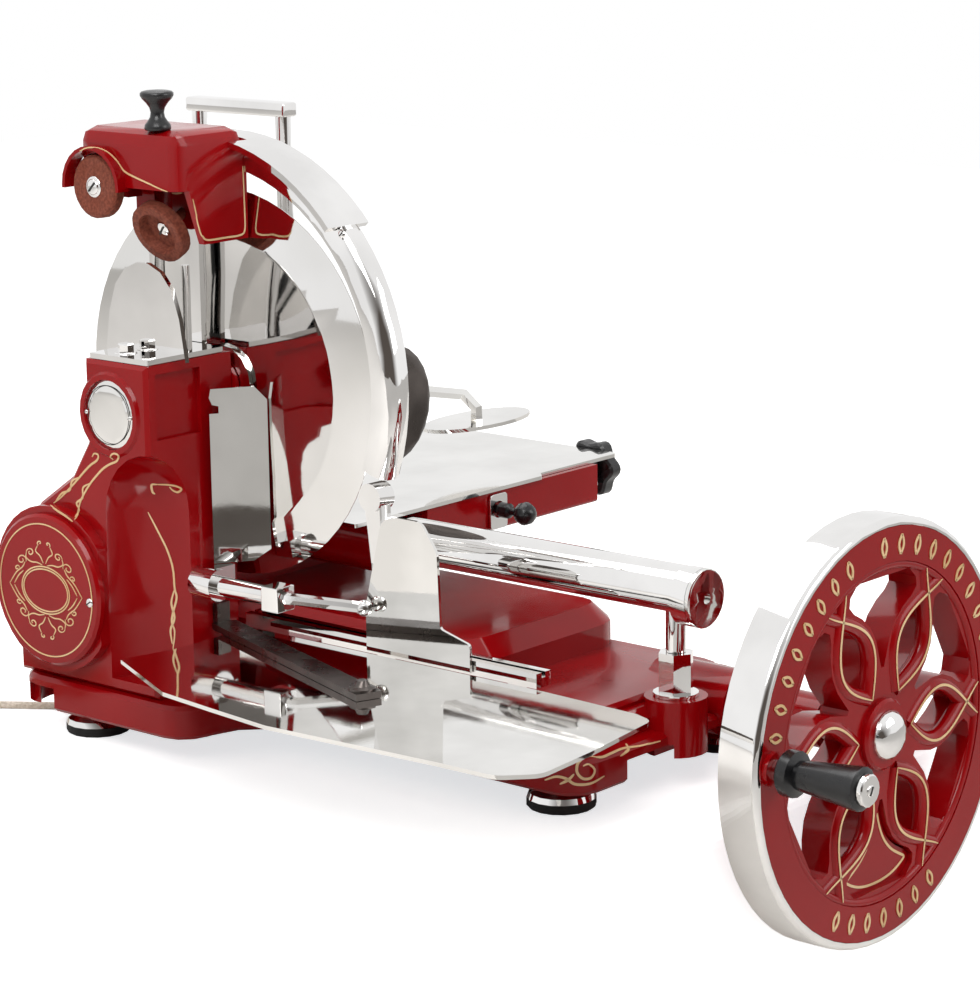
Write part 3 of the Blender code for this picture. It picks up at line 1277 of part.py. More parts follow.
def blade_guard_ring():
    width = GUARD_BACK - GUARD_FRONT
    depth = GUARD_OUTER_RADIUS - GUARD_INNER_RADIUS
    profile = [
        (width * along, GUARD_OUTER_RADIUS - depth * down) for along, down in GUARD_PROFILE_SHARES
    ]
    ring = turned(profile, (GUARD_FRONT, GUARD_Y, GUARD_HEIGHT), "X", GUARD_STEPS, ring=True)
    reach = GUARD_OUTER_RADIUS + HOOD_THICKNESS * 4
    keep = plate([guard_sector(GUARD_START_DEG, GUARD_END_DEG, reach)], width * 2,
                 (GUARD_FRONT + GUARD_BACK) / 2, "X")
    ring = common(ring, keep)
    hood_left = GUARD_FRONT - HOOD_OVERHANG
    hood_width = width + HOOD_OVERHANG + HOOD_BACK_OVERHANG
    hood = turned(
        [(0.0, GUARD_OUTER_RADIUS - EMBED), (0.0, GUARD_OUTER_RADIUS + HOOD_THICKNESS),
         (hood_width, GUARD_OUTER_RADIUS + HOOD_THICKNESS), (hood_width, GUARD_OUTER_RADIUS - EMBED)],
        (hood_left, GUARD_Y, GUARD_HEIGHT), "X", GUARD_STEPS, ring=True)
    hood_keep = plate([guard_sector(HOOD_START_DEG, GUARD_END_DEG, reach)], width * 4,
                      (GUARD_FRONT + GUARD_BACK) / 2, "X")
    hood = common(hood, hood_keep)
    arm = united(
        box((GUARD_ARM_LEFT, GUARD_ARM_NEAR, COLUMN_TOP + FIT_GAP),
            (GUARD_ARM_LEFT + GUARD_ARM_THICKNESS, GUARD_ARM_NEAR + GUARD_ARM_WIDTH, GUARD_TAB_TOP)),
        box((GUARD_ARM_LEFT + EMBED / 2, GUARD_ARM_NEAR + EMBED / 2, GUARD_TAB_BOTTOM),
            (GUARD_FRONT + width / 2, GUARD_ARM_NEAR + GUARD_ARM_WIDTH / 2, GUARD_TAB_TOP - EMBED / 2)),
    )
    whole = united(ring, hood)
    clearance = box(
        (SHARP_LEFT, SHARP_NEAR - SIDE_GAP, SHARP_APRON_BOTTOM - SHARP_CORNER),
        (SHARP_RIGHT + SIDE_GAP, SHARP_FAR, SHARP_TOP + OVERRUN))
    whole = united(cut(whole, clearance), arm)
    finished(whole, "blade_guard_ring", "chrome")


def guard_end_bracket():
    front = [(-0.0, 1.0), (0.15, 0.72), (0.30, 0.40), (0.42, 0.0)]
    outline = [
        (GUARD_END_Y - GUARD_END_REACH * out, GUARD_END_BOTTOM + (GUARD_END_TOP - GUARD_END_BOTTOM) * up)
        for out, up in front
    ]
    back = [
        (y - GUARD_END_WIDTH * (1.0 - share / 2), z)
        for (y, z), share in zip(outline, (0.0, 0.3, 0.7, 1.0))
    ]
    strip = plate([outline + list(reversed(back))], GUARD_END_THICKNESS, GUARD_END_X, "X", EMBED / 2)
    knuckle = cylinder((GUARD_END_X - GUARD_END_THICKNESS * 2 / 3, GUARD_END_Y - GUARD_END_WIDTH / 2,
                        GUARD_END_TOP - EMBED), "X", GUARD_END_THICKNESS * 4 / 3,
                            GUARD_END_WIDTH / 2 + EMBED,
                       segments=COARSE)
    finished(united(strip, knuckle), "guard_end_bracket", "chrome")


def slice_guard_plate():
    bottom = RAIL_TOP - RAIL_HEIGHT + EMBED
    tall = SLICE_GUARD_TOP - bottom
    long = SLICE_GUARD_LENGTH
    corners = [
        (SLICE_GUARD_FAR - long * along, bottom + tall * up) for along, up in SLICE_GUARD_SHARES
    ]
    radii = [SLICE_GUARD_CORNER * share for share in (0.1, 0.4, 1.0, 1.0, 0.8, 0.8, 0.3, 0.3, 0.1)]
    sheet = plate([rounded(corners, radii)], SLICE_GUARD_THICKNESS, SLICE_GUARD_X, "X")
    finished(sheet, "slice_guard_plate", "polished_steel")


def guide_rail():
    bar = box((RAIL_X, RAIL_NEAR, RAIL_TOP - RAIL_HEIGHT), (RAIL_X + RAIL_WIDTH, RAIL_FAR, RAIL_TOP))
    groove = box((RAIL_X + RAIL_WIDTH / 2 - RAIL_GROOVE / 2, RAIL_NEAR - OVERRUN, RAIL_TOP - RAIL_GROOVE),
                 (RAIL_X + RAIL_WIDTH / 2 + RAIL_GROOVE / 2, RAIL_FAR + OVERRUN, RAIL_TOP + OVERRUN))
    bar = cut(bar, groove)
    stays = [
        box((RAIL_X + RAIL_WIDTH * 2 / 3, near, DECK_TOP + FIT_GAP),
            (RAIL_X + RAIL_WIDTH - EMBED / 2, near + RAIL_STAY_LENGTH, RAIL_TOP - RAIL_HEIGHT + EMBED))
        for near in (RAIL_NEAR + RAIL_STAY_LENGTH, (RAIL_NEAR + RAIL_FAR) / 2,
            RAIL_FAR - RAIL_STAY_LENGTH * 2)
    ]
    finished(united(bar, *stays), "guide_rail", "chrome")


def tray_corners():
    wide = TRAY_RIGHT - TRAY_LEFT
    long = TRAY_FAR - TRAY_NEAR
    return [(TRAY_LEFT + wide * x, TRAY_NEAR + long * y) for x, y in reversed(TRAY_OUTLINE_SHARES)]


def tray():
    hole = circle((ARM_BOLT_X, ARM_BOLT_Y), ARM_BOLT_SHANK + FIT_GAP, SMALL)
    radii = [TRAY_CORNER * share for share in reversed(TRAY_CORNER_SHARES)]
    sheet = plate([rounded(tray_corners(), radii, 3), hole], TRAY_THICKNESS,
                  TRAY_TOP - TRAY_THICKNESS / 2, "Z")
    finished(sheet, "tray", "polished_steel")


def tray_arm():
    start = Vector((ARM_START_X, COLUMN_NEAR - FIT_GAP - ARM_WIDTH / 4))
    end = Vector((ARM_BOLT_X, ARM_BOLT_Y))
    along = (end - start).normalized()
    side = Vector((-along.y, along.x)) * (ARM_WIDTH / 2)
    end = end + along * (ARM_WIDTH / 2)
    outline = [tuple(start + side), tuple(start - side), tuple(end - side), tuple(end + side)]
    bottom = TRAY_TOP + FIT_GAP
    bar = plate([outline], ARM_THICKNESS, bottom + ARM_THICKNESS / 2, "Z")
    face = box((ARM_START_X - ARM_WIDTH, COLUMN_NEAR - FIT_GAP, bottom - OVERRUN),
               (ARM_START_X + ARM_WIDTH, COLUMN_NEAR + ARM_WIDTH, bottom + ARM_THICKNESS + OVERRUN))
    bar = cut(bar, face)
    foot = box((ARM_START_X - ARM_WIDTH / 3, COLUMN_NEAR - FIT_GAP - ARM_THICKNESS, bottom + EMBED),
               (ARM_START_X + ARM_WIDTH / 3, COLUMN_NEAR - FIT_GAP, bottom + ARM_THICKNESS * 4))
    bolt = turned(
        [(0.0, 0.0), (0.0, ARM_BOLT_RADIUS), (ARM_THICKNESS / 2, ARM_BOLT_RADIUS),
         (ARM_THICKNESS / 2, ARM_BOLT_SHANK),
         (ARM_THICKNESS / 2 + TRAY_THICKNESS + FIT_GAP * 2 + EMBED, ARM_BOLT_SHANK),
         (ARM_THICKNESS / 2 + TRAY_THICKNESS + FIT_GAP * 2 + EMBED, 0.0)],
        (ARM_BOLT_X, ARM_BOLT_Y, TRAY_TOP - TRAY_THICKNESS - FIT_GAP - ARM_THICKNESS / 2), "Z", SMALL)
    head = turned(
        [(0.0, 0.0), (0.0, ARM_BOLT_RADIUS), (ARM_BOLT_HEIGHT / 3, ARM_BOLT_RADIUS),
         (ARM_BOLT_HEIGHT / 2, ARM_BOLT_SHANK * 3 / 2), (ARM_BOLT_HEIGHT, ARM_BOLT_SHANK),
         (ARM_BOLT_HEIGHT, 0.0)],
        (ARM_BOLT_X, ARM_BOLT_Y, bottom + ARM_THICKNESS - EMBED / 2), "Z", SMALL)
    finished(united(bar, foot, bolt, head), "tray_arm", "dark_steel")


def bar_section(radius, near, far, flat):
    rod = cylinder((BAR_X, near, BAR_HEIGHT), "Y", far - near, radius, segments=ROUND)
    under = box((BAR_X - radius * 2, near - OVERRUN, BAR_HEIGHT - radius * 2),
                (BAR_X + radius * 2, far + OVERRUN, BAR_HEIGHT - flat))
    return cut(rod, under)


def carriage_bar():
    rod = bar_section(BAR_RADIUS, BAR_NEAR, BAR_FAR, BAR_FLAT)
    collar = cylinder((BAR_X, BAR_NEAR - EMBED / 2, BAR_HEIGHT), "Y", BAR_COLLAR_LENGTH,
                      BAR_RADIUS + EMBED / 4, segments=ROUND)
    finished(united(rod, collar), "carriage_bar", "chrome")


def bar_end_cap():
    hole = BAR_CAP_HOLE_RADIUS
    face = BAR_NEAR - EMBED / 2 - FIT_GAP
    cap = turned(
        [(BAR_CAP_HOLE_DEPTH, 0.0), (BAR_CAP_HOLE_DEPTH, hole), (0.0, hole), (0.0, BAR_RADIUS - EMBED / 2),
         (EMBED / 2, BAR_RADIUS + EMBED / 4), (BAR_CAP_THICKNESS, BAR_RADIUS + EMBED / 4),
         (BAR_CAP_THICKNESS, 0.0)],
        (BAR_X, face - BAR_CAP_THICKNESS, BAR_HEIGHT), "Y", ROUND)
    finished(cap, "bar_end_cap", "polished_steel")


def bar_supports():
    washer_top = BOSS_TOP + FIT_GAP + WASHER_THICKNESS
    hex_top = washer_top + HEX_HEIGHT - EMBED
    across = HEX_ACROSS_FLATS / math.sqrt(3.0)
    standoff = united(
        cylinder((BAR_X, POST_Y, BOSS_TOP + FIT_GAP), "Z", WASHER_THICKNESS, WASHER_RADIUS,
            segments=COARSE),
        cylinder((BAR_X, POST_Y, washer_top - EMBED / 2), "Z", hex_top - washer_top + EMBED / 2, across,
                 segments=6),
    )
    finished(standoff, "hex_standoff", "chrome")
    post = turned(
        [(0.0, 0.0), (0.0, POST_RADIUS), (BAR_HEIGHT - BAR_FLAT - FIT_GAP * 2 - hex_top, POST_RADIUS),
         (BAR_HEIGHT - BAR_FLAT - FIT_GAP * 2 - hex_top, 0.0)],
        (BAR_X, POST_Y, hex_top + FIT_GAP), "Z", COARSE)
    finished(post, "bar_post", "chrome")
    block = box((BAR_X - BAR_SUPPORT_HALF, BAR_SUPPORT_NEAR, GEARBOX_TOP + FIT_GAP),
                (BAR_X + BAR_SUPPORT_HALF, BAR_FAR - EMBED, BAR_HEIGHT + BAR_FLAT), EMBED,
                upright_only=True)
    saddle = bar_section(BAR_RADIUS + FIT_GAP, BAR_SUPPORT_NEAR - OVERRUN, BAR_FAR + OVERRUN,
                         BAR_FLAT + FIT_GAP)
    finished(cut(block, saddle), "bar_rear_support", "dark_steel")


def carriage_slide():
    box_top = TABLE_TOP - TABLE_THICKNESS - FIT_GAP
    sleeve = cylinder((BAR_X, SLEEVE_NEAR, BAR_HEIGHT), "Y", SLEEVE_FAR - SLEEVE_NEAR, SLEEVE_RADIUS,
                      segments=ROUND)
    side = [
        (BOX_NEAR, BOX_BOTTOM + BOX_DROP), (BOX_NEAR + BOX_TAPER, BOX_BOTTOM), (BOX_FAR, BOX_BOTTOM),
        (BOX_FAR, box_top), (BOX_NEAR, box_top),
    ]
    slide = plate([rounded(side, [BOX_ROUND / 2, BOX_ROUND, BOX_ROUND / 2, 0.0, 0.0], 3)],
                  BOX_RIGHT - BOX_LEFT, (BOX_RIGHT + BOX_LEFT) / 2, "X")
    body = united(sleeve, slide)
    runner_y = (BOX_NEAR + BOX_FAR) / 2
    lid = box((BAR_X - SLEEVE_RADIUS * 2, SLEEVE_NEAR - OVERRUN, box_top - SIDE_GAP),
              (BOX_LEFT + EMBED, SLEEVE_FAR + OVERRUN, BAR_HEIGHT + SLEEVE_RADIUS * 2))
    slot = box((BAR_X - SLEEVE_SLOT / 2, SLEEVE_NEAR - OVERRUN, BAR_HEIGHT),
               (BAR_X + SLEEVE_SLOT / 2, SLEEVE_FAR + OVERRUN, BAR_HEIGHT + SLEEVE_RADIUS * 2))
    way = bar_section(BAR_RADIUS + FIT_GAP, SLEEVE_NEAR - OVERRUN, SLEEVE_FAR + OVERRUN, BAR_FLAT + FIT_GAP)
    groove = box((BOX_LEFT + RUNNER_WIDTH, runner_y - RUNNER_WIDTH / 2 - FIT_GAP,
        box_top - RUNNER_DEPTH - FIT_GAP),
                 (BOX_RIGHT + OVERRUN, runner_y + RUNNER_WIDTH / 2 + FIT_GAP, box_top + OVERRUN))
    screw_bore = cylinder((SCREW_LEFT - EMBED, KNOB_Y, KNOB_HEIGHT), "X",
        BOX_RIGHT + OVERRUN - SCREW_LEFT + EMBED,
                          SCREW_RADIUS + FIT_GAP, segments=SMALL)
    lever_bore = cylinder((LEVER_X, BOX_NEAR - OVERRUN, LEVER_HEIGHT), "Y",
        LEVER_DEPTH + LEVER_TRAVEL + OVERRUN * 2,
                          LEVER_STEM_RADIUS + FIT_GAP, segments=SMALL)
    finished(cut(body, lid, slot, way, groove, screw_bore, lever_bore), "carriage_slide", "red_enamel",
             CARRIAGE_PIVOT)


def ball_knob():
    length = BOX_NEAR + LEVER_DEPTH - LEVER_BALL_Y
    neck_near = length - LEVER_DEPTH - LEVER_TRAVEL - EMBED / 2 - LEVER_NECK_LENGTH
    ball = [
        (LEVER_BALL_RADIUS * math.cos(math.radians(a)), LEVER_BALL_RADIUS * math.sin(math.radians(a)))
        for a in range(180, 19, -20)
    ]
    ball_end = ball[-1][0]
    profile = [(along, radius if radius > WELD_DISTANCE else 0.0) for along, radius in ball]
    profile += [
        (ball_end + EMBED / 2, LEVER_STEM_RADIUS), (neck_near, LEVER_STEM_RADIUS),
        (neck_near + EMBED, LEVER_NECK_RADIUS), (neck_near + LEVER_NECK_LENGTH, LEVER_NECK_RADIUS),
        (neck_near + LEVER_NECK_LENGTH, LEVER_STEM_RADIUS), (length, LEVER_STEM_RADIUS), (length, 0.0),
    ]
    profile = [(along, radius) for along, radius in profile]
    knob = turned(profile, (LEVER_X, LEVER_BALL_Y, LEVER_HEIGHT), "Y", SMALL)
    finished(knob, "ball_knob", "black_plastic", LEVER_PIVOT)


def meat_table():
    bottom = TABLE_TOP - TABLE_THICKNESS
    corners = [
        (TABLE_LEFT, TABLE_NEAR), (TABLE_LIP_X, TABLE_NEAR),
        (TABLE_LIP_X + TABLE_NOTCH, TABLE_NEAR + TABLE_NOTCH),
        (TABLE_RIGHT, TABLE_NEAR + TABLE_NOTCH), (TABLE_RIGHT, TABLE_FAR), (TABLE_LEFT, TABLE_FAR),
    ]
    sheet = plate([rounded(corners, [EMBED, EMBED, EMBED, TABLE_CORNER, TABLE_CORNER, EMBED], 3)],
                  TABLE_THICKNESS, bottom + TABLE_THICKNESS / 2, "Z")
    runner_y = (BOX_NEAR + BOX_FAR) / 2
    runner = box((BOX_LEFT + RUNNER_WIDTH + TABLE_BACK_TRAVEL + EMBED, runner_y - RUNNER_WIDTH / 2,
                  bottom - FIT_GAP - RUNNER_DEPTH),
                 (BOX_RIGHT - RUNNER_WIDTH, runner_y + RUNNER_WIDTH / 2, bottom + EMBED / 2))
    bracket_left = TABLE_RIGHT - EMBED - SCREW_BRACKET_WIDTH
    bracket = box((bracket_left, KNOB_Y - KNOB_RADIUS / 2, KNOB_HEIGHT - KNOB_RADIUS / 2),
                  (bracket_left + SCREW_BRACKET_WIDTH, KNOB_Y + KNOB_RADIUS / 2, bottom + EMBED / 2))
    bore = cylinder((bracket_left - OVERRUN, KNOB_Y, KNOB_HEIGHT), "X", SCREW_BRACKET_WIDTH + OVERRUN * 2,
                    SCREW_RADIUS + FIT_GAP, segments=SMALL)
    finished(cut(united(sheet, runner, bracket), bore), "meat_table", "polished_steel", TABLE_PIVOT)


def feed_knob():
    lobes = []
    for step in range(KNOB_LOBES * 8):
        angle = math.tau * step / (KNOB_LOBES * 8)
        reach = KNOB_RADIUS - KNOB_LOBE_DEPTH * (1 - math.cos(KNOB_LOBES * angle)) / 2
        lobes.append((KNOB_Y + reach * math.cos(angle), KNOB_HEIGHT + reach * math.sin(angle)))
    left = TABLE_RIGHT + KNOB_CLEARANCE
    star = plate([lobes], KNOB_THICKNESS, left + KNOB_THICKNESS / 2, "X", EMBED)
    neck_left = TABLE_RIGHT - EMBED + FIT_GAP
    neck = cylinder((neck_left, KNOB_Y, KNOB_HEIGHT), "X", left + EMBED - neck_left, KNOB_NECK_RADIUS,
                    segments=COARSE)
    screw = cylinder((SCREW_LEFT, KNOB_Y, KNOB_HEIGHT), "X", left + EMBED - SCREW_LEFT, SCREW_RADIUS,
                     segments=SMALL)
    finished(united(star, neck, screw), "feed_knob", "black_plastic", KNOB_PIVOT)


def press_frame():
    bar_bottom = PRESS_TOP - PRESS_BAR_THICKNESS / 2
    half = PRESS_BAR_DEPTH / 2
    bridge = box((PRESS_X - half, PRESS_NEAR - half, bar_bottom),
                 (PRESS_X + half, PRESS_FAR + half, bar_bottom + PRESS_BAR_THICKNESS), EMBED)
    legs = []
    for y in (PRESS_NEAR, PRESS_FAR):
        legs.append(cylinder((PRESS_X, y, TABLE_TOP + FIT_GAP), "Z",
            bar_bottom + EMBED * 2 - TABLE_TOP - FIT_GAP,
                             PRESS_ROD_RADIUS, segments=COARSE))
    foot_half = PRESS_ROD_RADIUS * 2
    foot = box((PRESS_X - foot_half, PRESS_NEAR - foot_half, TABLE_TOP + FIT_GAP),
               (PRESS_X + foot_half, PRESS_FAR + PRESS_ROD_RADIUS + EMBED / 2,
               TABLE_TOP + FIT_GAP + TABLE_THICKNESS * 2),
               EMBED)
    finished(united(foot, bridge, *legs), "press_frame", "chrome", TABLE_PIVOT)


def press_plate():
    half = PRESS_BLOCK_DEPTH / 2
    low = PRESS_BLOCK_LEVEL - PRESS_BLOCK_HEIGHT / 2
    block = box((PRESS_X - half, PRESS_NEAR - half, low), (PRESS_X + half, PRESS_FAR + half,
        low + PRESS_BLOCK_HEIGHT),
                EMBED)
    bores = [
        cylinder((PRESS_X, y, low - OVERRUN), "Z", PRESS_BLOCK_HEIGHT + OVERRUN * 2,
            PRESS_ROD_RADIUS + FIT_GAP,
                 segments=COARSE)
        for y in (PRESS_NEAR, PRESS_FAR)
    ]
    reach = PRESS_NEAR - half + EMBED - (PRESS_DISC_Y + PRESS_DISC_THICKNESS + FIT_GAP)
    arm = cylinder((PRESS_X, PRESS_DISC_Y + PRESS_DISC_THICKNESS + FIT_GAP, PRESS_BLOCK_LEVEL), "Y", reach,
                   PRESS_ARM_RADIUS, segments=SMALL)
    level = PRESS_PLATE_LEVEL
    oval = [
        (PRESS_PLATE_X + PRESS_PLATE_LENGTH / 2 * math.cos(math.tau * i / ROUND),
         PRESS_PLATE_Y + PRESS_PLATE_WIDTH / 2 * math.sin(math.tau * i / ROUND))
        for i in range(ROUND)
    ]
    pad = plate([oval], PRESS_PLATE_THICKNESS, level, "Z")
    link = tube(
        [(PRESS_X + half - EMBED, (PRESS_NEAR + PRESS_FAR) / 2, PRESS_BLOCK_LEVEL),
         (PRESS_X + half + PRESS_LINK_RISE, (PRESS_NEAR + PRESS_FAR) / 2, PRESS_BLOCK_LEVEL),
         (PRESS_PLATE_X, PRESS_PLATE_Y + PRESS_PLATE_WIDTH / 4, level + PRESS_LINK_RISE),
         (PRESS_PLATE_X, PRESS_PLATE_Y, level + PRESS_LINK_RISE / 2),
         (PRESS_PLATE_X, PRESS_PLATE_Y, level)],
        PRESS_ARM_RADIUS, 1)
    finished(united(cut(block, *bores), arm, pad, link), "press_plate", "polished_steel", PRESS_PIVOT)


def press_disc():
    disc = turned(
        [(0.0, 0.0), (0.0, PRESS_DISC_RADIUS - EMBED * 2), (EMBED, PRESS_DISC_RADIUS),
         (PRESS_DISC_THICKNESS / 2, PRESS_DISC_RADIUS), (PRESS_DISC_THICKNESS, PRESS_ARM_RADIUS * 2),
         (PRESS_DISC_THICKNESS, 0.0)],
        (PRESS_X, PRESS_DISC_Y, PRESS_BLOCK_LEVEL), "Y", ROUND)
    finished(disc, "press_disc", "dark_steel", PRESS_PIVOT)


def tilt_direction():
    tilt = math.radians(TRUER_TILT_DEG)
    return Vector((-math.cos(tilt), 0.0, -math.sin(tilt)))


def sharpener_housing():
    full = box((SHARP_LEFT, SHARP_NEAR, SHARP_BOTTOM), (SHARP_RIGHT, SHARP_FAR, SHARP_TOP), SHARP_CORNER,
        top_only=True)
    apron = plate(
        [[(SHARP_RIGHT, SHARP_TOP - SHARP_CORNER), (SHARP_LEFT + SHARP_CORNER, SHARP_TOP - SHARP_CORNER),
          (SHARP_LEFT + SHARP_CORNER, SHARP_BOTTOM), (SHARP_APRON_LEFT, SHARP_APRON_BOTTOM),
          (SHARP_RIGHT, SHARP_APRON_BOTTOM)]],
        SHARP_WALL * 2, SHARP_NEAR + SHARP_WALL, "Y")
    inner = SHARP_WALL
    hollow = box((SHARP_LEFT + inner, SHARP_NEAR + inner, SHARP_APRON_BOTTOM - OVERRUN),
                 (SHARP_RIGHT - inner, SHARP_FAR - inner, SHARP_TOP - inner), SHARP_CORNER - inner,
                 top_only=True)
    shell = cut(united(full, apron), hollow)
    fender = turned(
        [(0.0, FENDER_RADIUS - SHARP_WALL / 2), (0.0, FENDER_RADIUS), (FENDER_WIDTH, FENDER_RADIUS),
         (FENDER_WIDTH, FENDER_RADIUS - SHARP_WALL / 2)],
        (SHARP_LEFT + SHARP_WALL - EMBED - FENDER_WIDTH, STONE_Y, STONE_HEIGHT), "X", ROUND, ring=True)
    lower = box((SHARP_LEFT - FENDER_RADIUS, STONE_Y - FENDER_RADIUS * 2, STONE_HEIGHT - FENDER_RADIUS * 2),
                (SHARP_RIGHT, STONE_Y + FENDER_RADIUS * 2, STONE_HEIGHT - EMBED))
    shell = united(shell, cut(fender, lower))
    ribs = [
        box((STONE_RIB_LEFT, STONE_Y - SHARP_BLOCK_HALF, STONE_HEIGHT - SHARP_BLOCK_HALF),
            (STONE_RIB_LEFT + SHARP_RIB_WIDTH, STONE_Y + SHARP_BLOCK_HALF, SHARP_TOP - inner / 2)),
        box((TRUER_RIB_LEFT, TRUER_Y - SHARP_BLOCK_HALF, TRUER_RIB_BOTTOM),
            (TRUER_RIB_LEFT + SHARP_RIB_WIDTH, TRUER_Y + SHARP_BLOCK_HALF, SHARP_TOP - inner / 2)),
        box((SHARP_POST_X - SHARP_BLOCK_HALF, SHARP_POST_Y - SHARP_BLOCK_HALF, SHARP_BLOCK_BOTTOM),
            (SHARP_POST_X + SHARP_BLOCK_HALF, SHARP_POST_Y + SHARP_BLOCK_HALF, SHARP_TOP - inner / 2)),
    ]
    shell = united(shell, *ribs)
    direction = tilt_direction()
    cuts = [
        cylinder((SHARP_LEFT - FENDER_WIDTH, STONE_Y, STONE_HEIGHT), "X",
            FENDER_WIDTH + inner + OVERRUN * 2,
                 STONE_RADIUS + SHAFT_ROOM, segments=ROUND),
        cylinder((STONE_RIB_LEFT - OVERRUN, STONE_Y, STONE_HEIGHT), "X", SHARP_RIB_WIDTH + OVERRUN * 2,
                 SPINDLE_RADIUS + FIT_GAP, segments=SMALL),
        cylinder(Vector((TRUER_X, TRUER_Y, TRUER_HEIGHT)), -direction, TRUER_SPINDLE_LENGTH + OVERRUN,
                 SPINDLE_RADIUS + FIT_GAP, segments=SMALL),
        cylinder((SHARP_POST_X, SHARP_POST_Y, SHARP_BLOCK_BOTTOM - OVERRUN), "Z",
                 SHARP_POST_TOP + SIDE_GAP - SHARP_BLOCK_BOTTOM + OVERRUN, SHARP_POST_RADIUS + FIT_GAP,
                 segments=COARSE),
        box((GUARD_ARM_LEFT + GUARD_ARM_THICKNESS / 2, GUARD_ARM_NEAR - SHAFT_ROOM, SHARP_APRON_BOTTOM),
            (SHARP_RIGHT + OVERRUN, GUARD_ARM_NEAR + GUARD_ARM_WIDTH / 2 + SHAFT_ROOM,
            GUARD_TAB_TOP + SHAFT_ROOM)),
        cylinder((SHARP_KNOB_X, SHARP_KNOB_Y, SHARP_TOP - SHARP_WALL * 2), "Z", SHARP_WALL * 2 + OVERRUN,
                 SHARP_KNOB_WAIST / 2 + FIT_GAP, segments=SMALL),
    ]
    finished(cut(shell, *cuts), "sharpener_housing", "red_enamel", SHARPENER_PIVOT)


def sharpener_knob():
    height = SHARP_KNOB_HEIGHT
    profile = [
        (-SHARP_WALL, 0.0), (-SHARP_WALL, SHARP_KNOB_WAIST / 2), (FIT_GAP, SHARP_KNOB_WAIST / 2),
        (FIT_GAP, SHARP_KNOB_RADIUS * 3 / 4), (height / 6, SHARP_KNOB_RADIUS * 3 / 4),
        (height / 3, SHARP_KNOB_WAIST), (height / 2, SHARP_KNOB_WAIST),
        (height * 4 / 5, SHARP_KNOB_RADIUS), (height, SHARP_KNOB_RADIUS - EMBED), (height, 0.0),
    ]
    knob = turned(profile, (SHARP_KNOB_X, SHARP_KNOB_Y, SHARP_TOP), "Z", COARSE)
    finished(knob, "sharpener_knob", "black_plastic", SHARPENER_PIVOT)


def stones():
    far = STONE_RIB_LEFT + SHARP_RIB_WIDTH + EMBED
    left = STONE_X - STONE_THICKNESS / 2
    stone = turned(
        [(0.0, 0.0), (0.0, STONE_RADIUS - EMBED), (EMBED, STONE_RADIUS),
        (STONE_THICKNESS - EMBED, STONE_RADIUS),
         (STONE_THICKNESS, STONE_RADIUS - EMBED), (STONE_THICKNESS, SPINDLE_RADIUS),
         (far - left, SPINDLE_RADIUS),
         (far - left, 0.0)],
        (left, STONE_Y, STONE_HEIGHT), "X", ROUND)
    finished(stone, "grinding_stone", "brown_stone", STONE_PIVOT)
    direction = tilt_direction()
    start = Vector((TRUER_X, TRUER_Y, TRUER_HEIGHT)) + direction * (TRUER_THICKNESS / 2)
    cup = turned(
        [(TRUER_CUP_DEPTH, 0.0), (TRUER_CUP_DEPTH, TRUER_CUP_RADIUS - EMBED), (0.0, TRUER_CUP_RADIUS),
         (0.0, TRUER_RADIUS - EMBED / 2), (EMBED / 2, TRUER_RADIUS),
         (TRUER_THICKNESS * 2 / 3, TRUER_RADIUS),
         (TRUER_THICKNESS, TRUER_RADIUS * 2 / 3), (TRUER_THICKNESS, SPINDLE_RADIUS),
         (TRUER_SPINDLE_LENGTH, SPINDLE_RADIUS), (TRUER_SPINDLE_LENGTH, 0.0)],
        start, -direction, ROUND)
    finished(cup, "truing_stone", "brown_stone", TRUER_PIVOT)


def sharpener_bracket():
    bottom = COLUMN_TOP + FIT_GAP
    tall = BRACKET_TOP - bottom
    spread = BRACKET_FOOT_HALF - BRACKET_TOP_HALF
    side = [
        (BRACKET_TOP_HALF * min(1.0, 2 * wide) + spread * max(0.0, 2 * wide - 1.0), bottom + tall * up)
        for up, wide in BRACKET_SIDE_SHARES
    ]
    right = [(BRACKET_MIDDLE_Y + half, z) for half, z in side]
    left = [(BRACKET_MIDDLE_Y - half, z) for half, z in reversed(side)]
    arch = plate([right + left], BRACKET_THICKNESS, BRACKET_X, "X")
    foot = box((BRACKET_FOOT_FRONT, COLUMN_NEAR + EMBED, bottom),
               (BRACKET_SHELF_BACK, COLUMN_FAR - EMBED, bottom + BRACKET_THICKNESS), EMBED,
               upright_only=True)
    pin = cylinder((BRACKET_PIN_X, BRACKET_PIN_Y, bottom + EMBED), "Z", BRACKET_PIN_TOP - bottom - EMBED,
                   BRACKET_PIN_RADIUS, segments=SMALL)
    post = cylinder((SHARP_POST_X, SHARP_POST_Y - BRACKET_POST_SHIFT, bottom + EMBED), "Z",
                    SHARP_POST_TOP - bottom - EMBED, SHARP_POST_RADIUS, segments=COARSE)
    finished(united(foot, arch, pin, post), "sharpener_bracket", "chrome")


def deflector():
    edge = Vector((DEFLECTOR_EDGE_X, DEFLECTOR_EDGE_Y))
    front = Vector((DEFLECTOR_FRONT_X, DEFLECTOR_FRONT_Y))
    along = front - edge
    wide = along.length
    tall = DEFLECTOR_TOP - DEFLECTOR_BOTTOM
    corners = [(wide * x, DEFLECTOR_BOTTOM + tall * z) for x, z in DEFLECTOR_SHARES]
    sheet = plate([corners], DEFLECTOR_THICKNESS, 0.0, "Y")
    heading = math.atan2(along.y, along.x)
    place = Matrix.Translation((edge.x, edge.y, 0.0)) @ Matrix.Rotation(heading, 4, "Z")
    finished(moved(sheet, place), "deflector_plate", "polished_steel", DEFLECTOR_PIVOT)


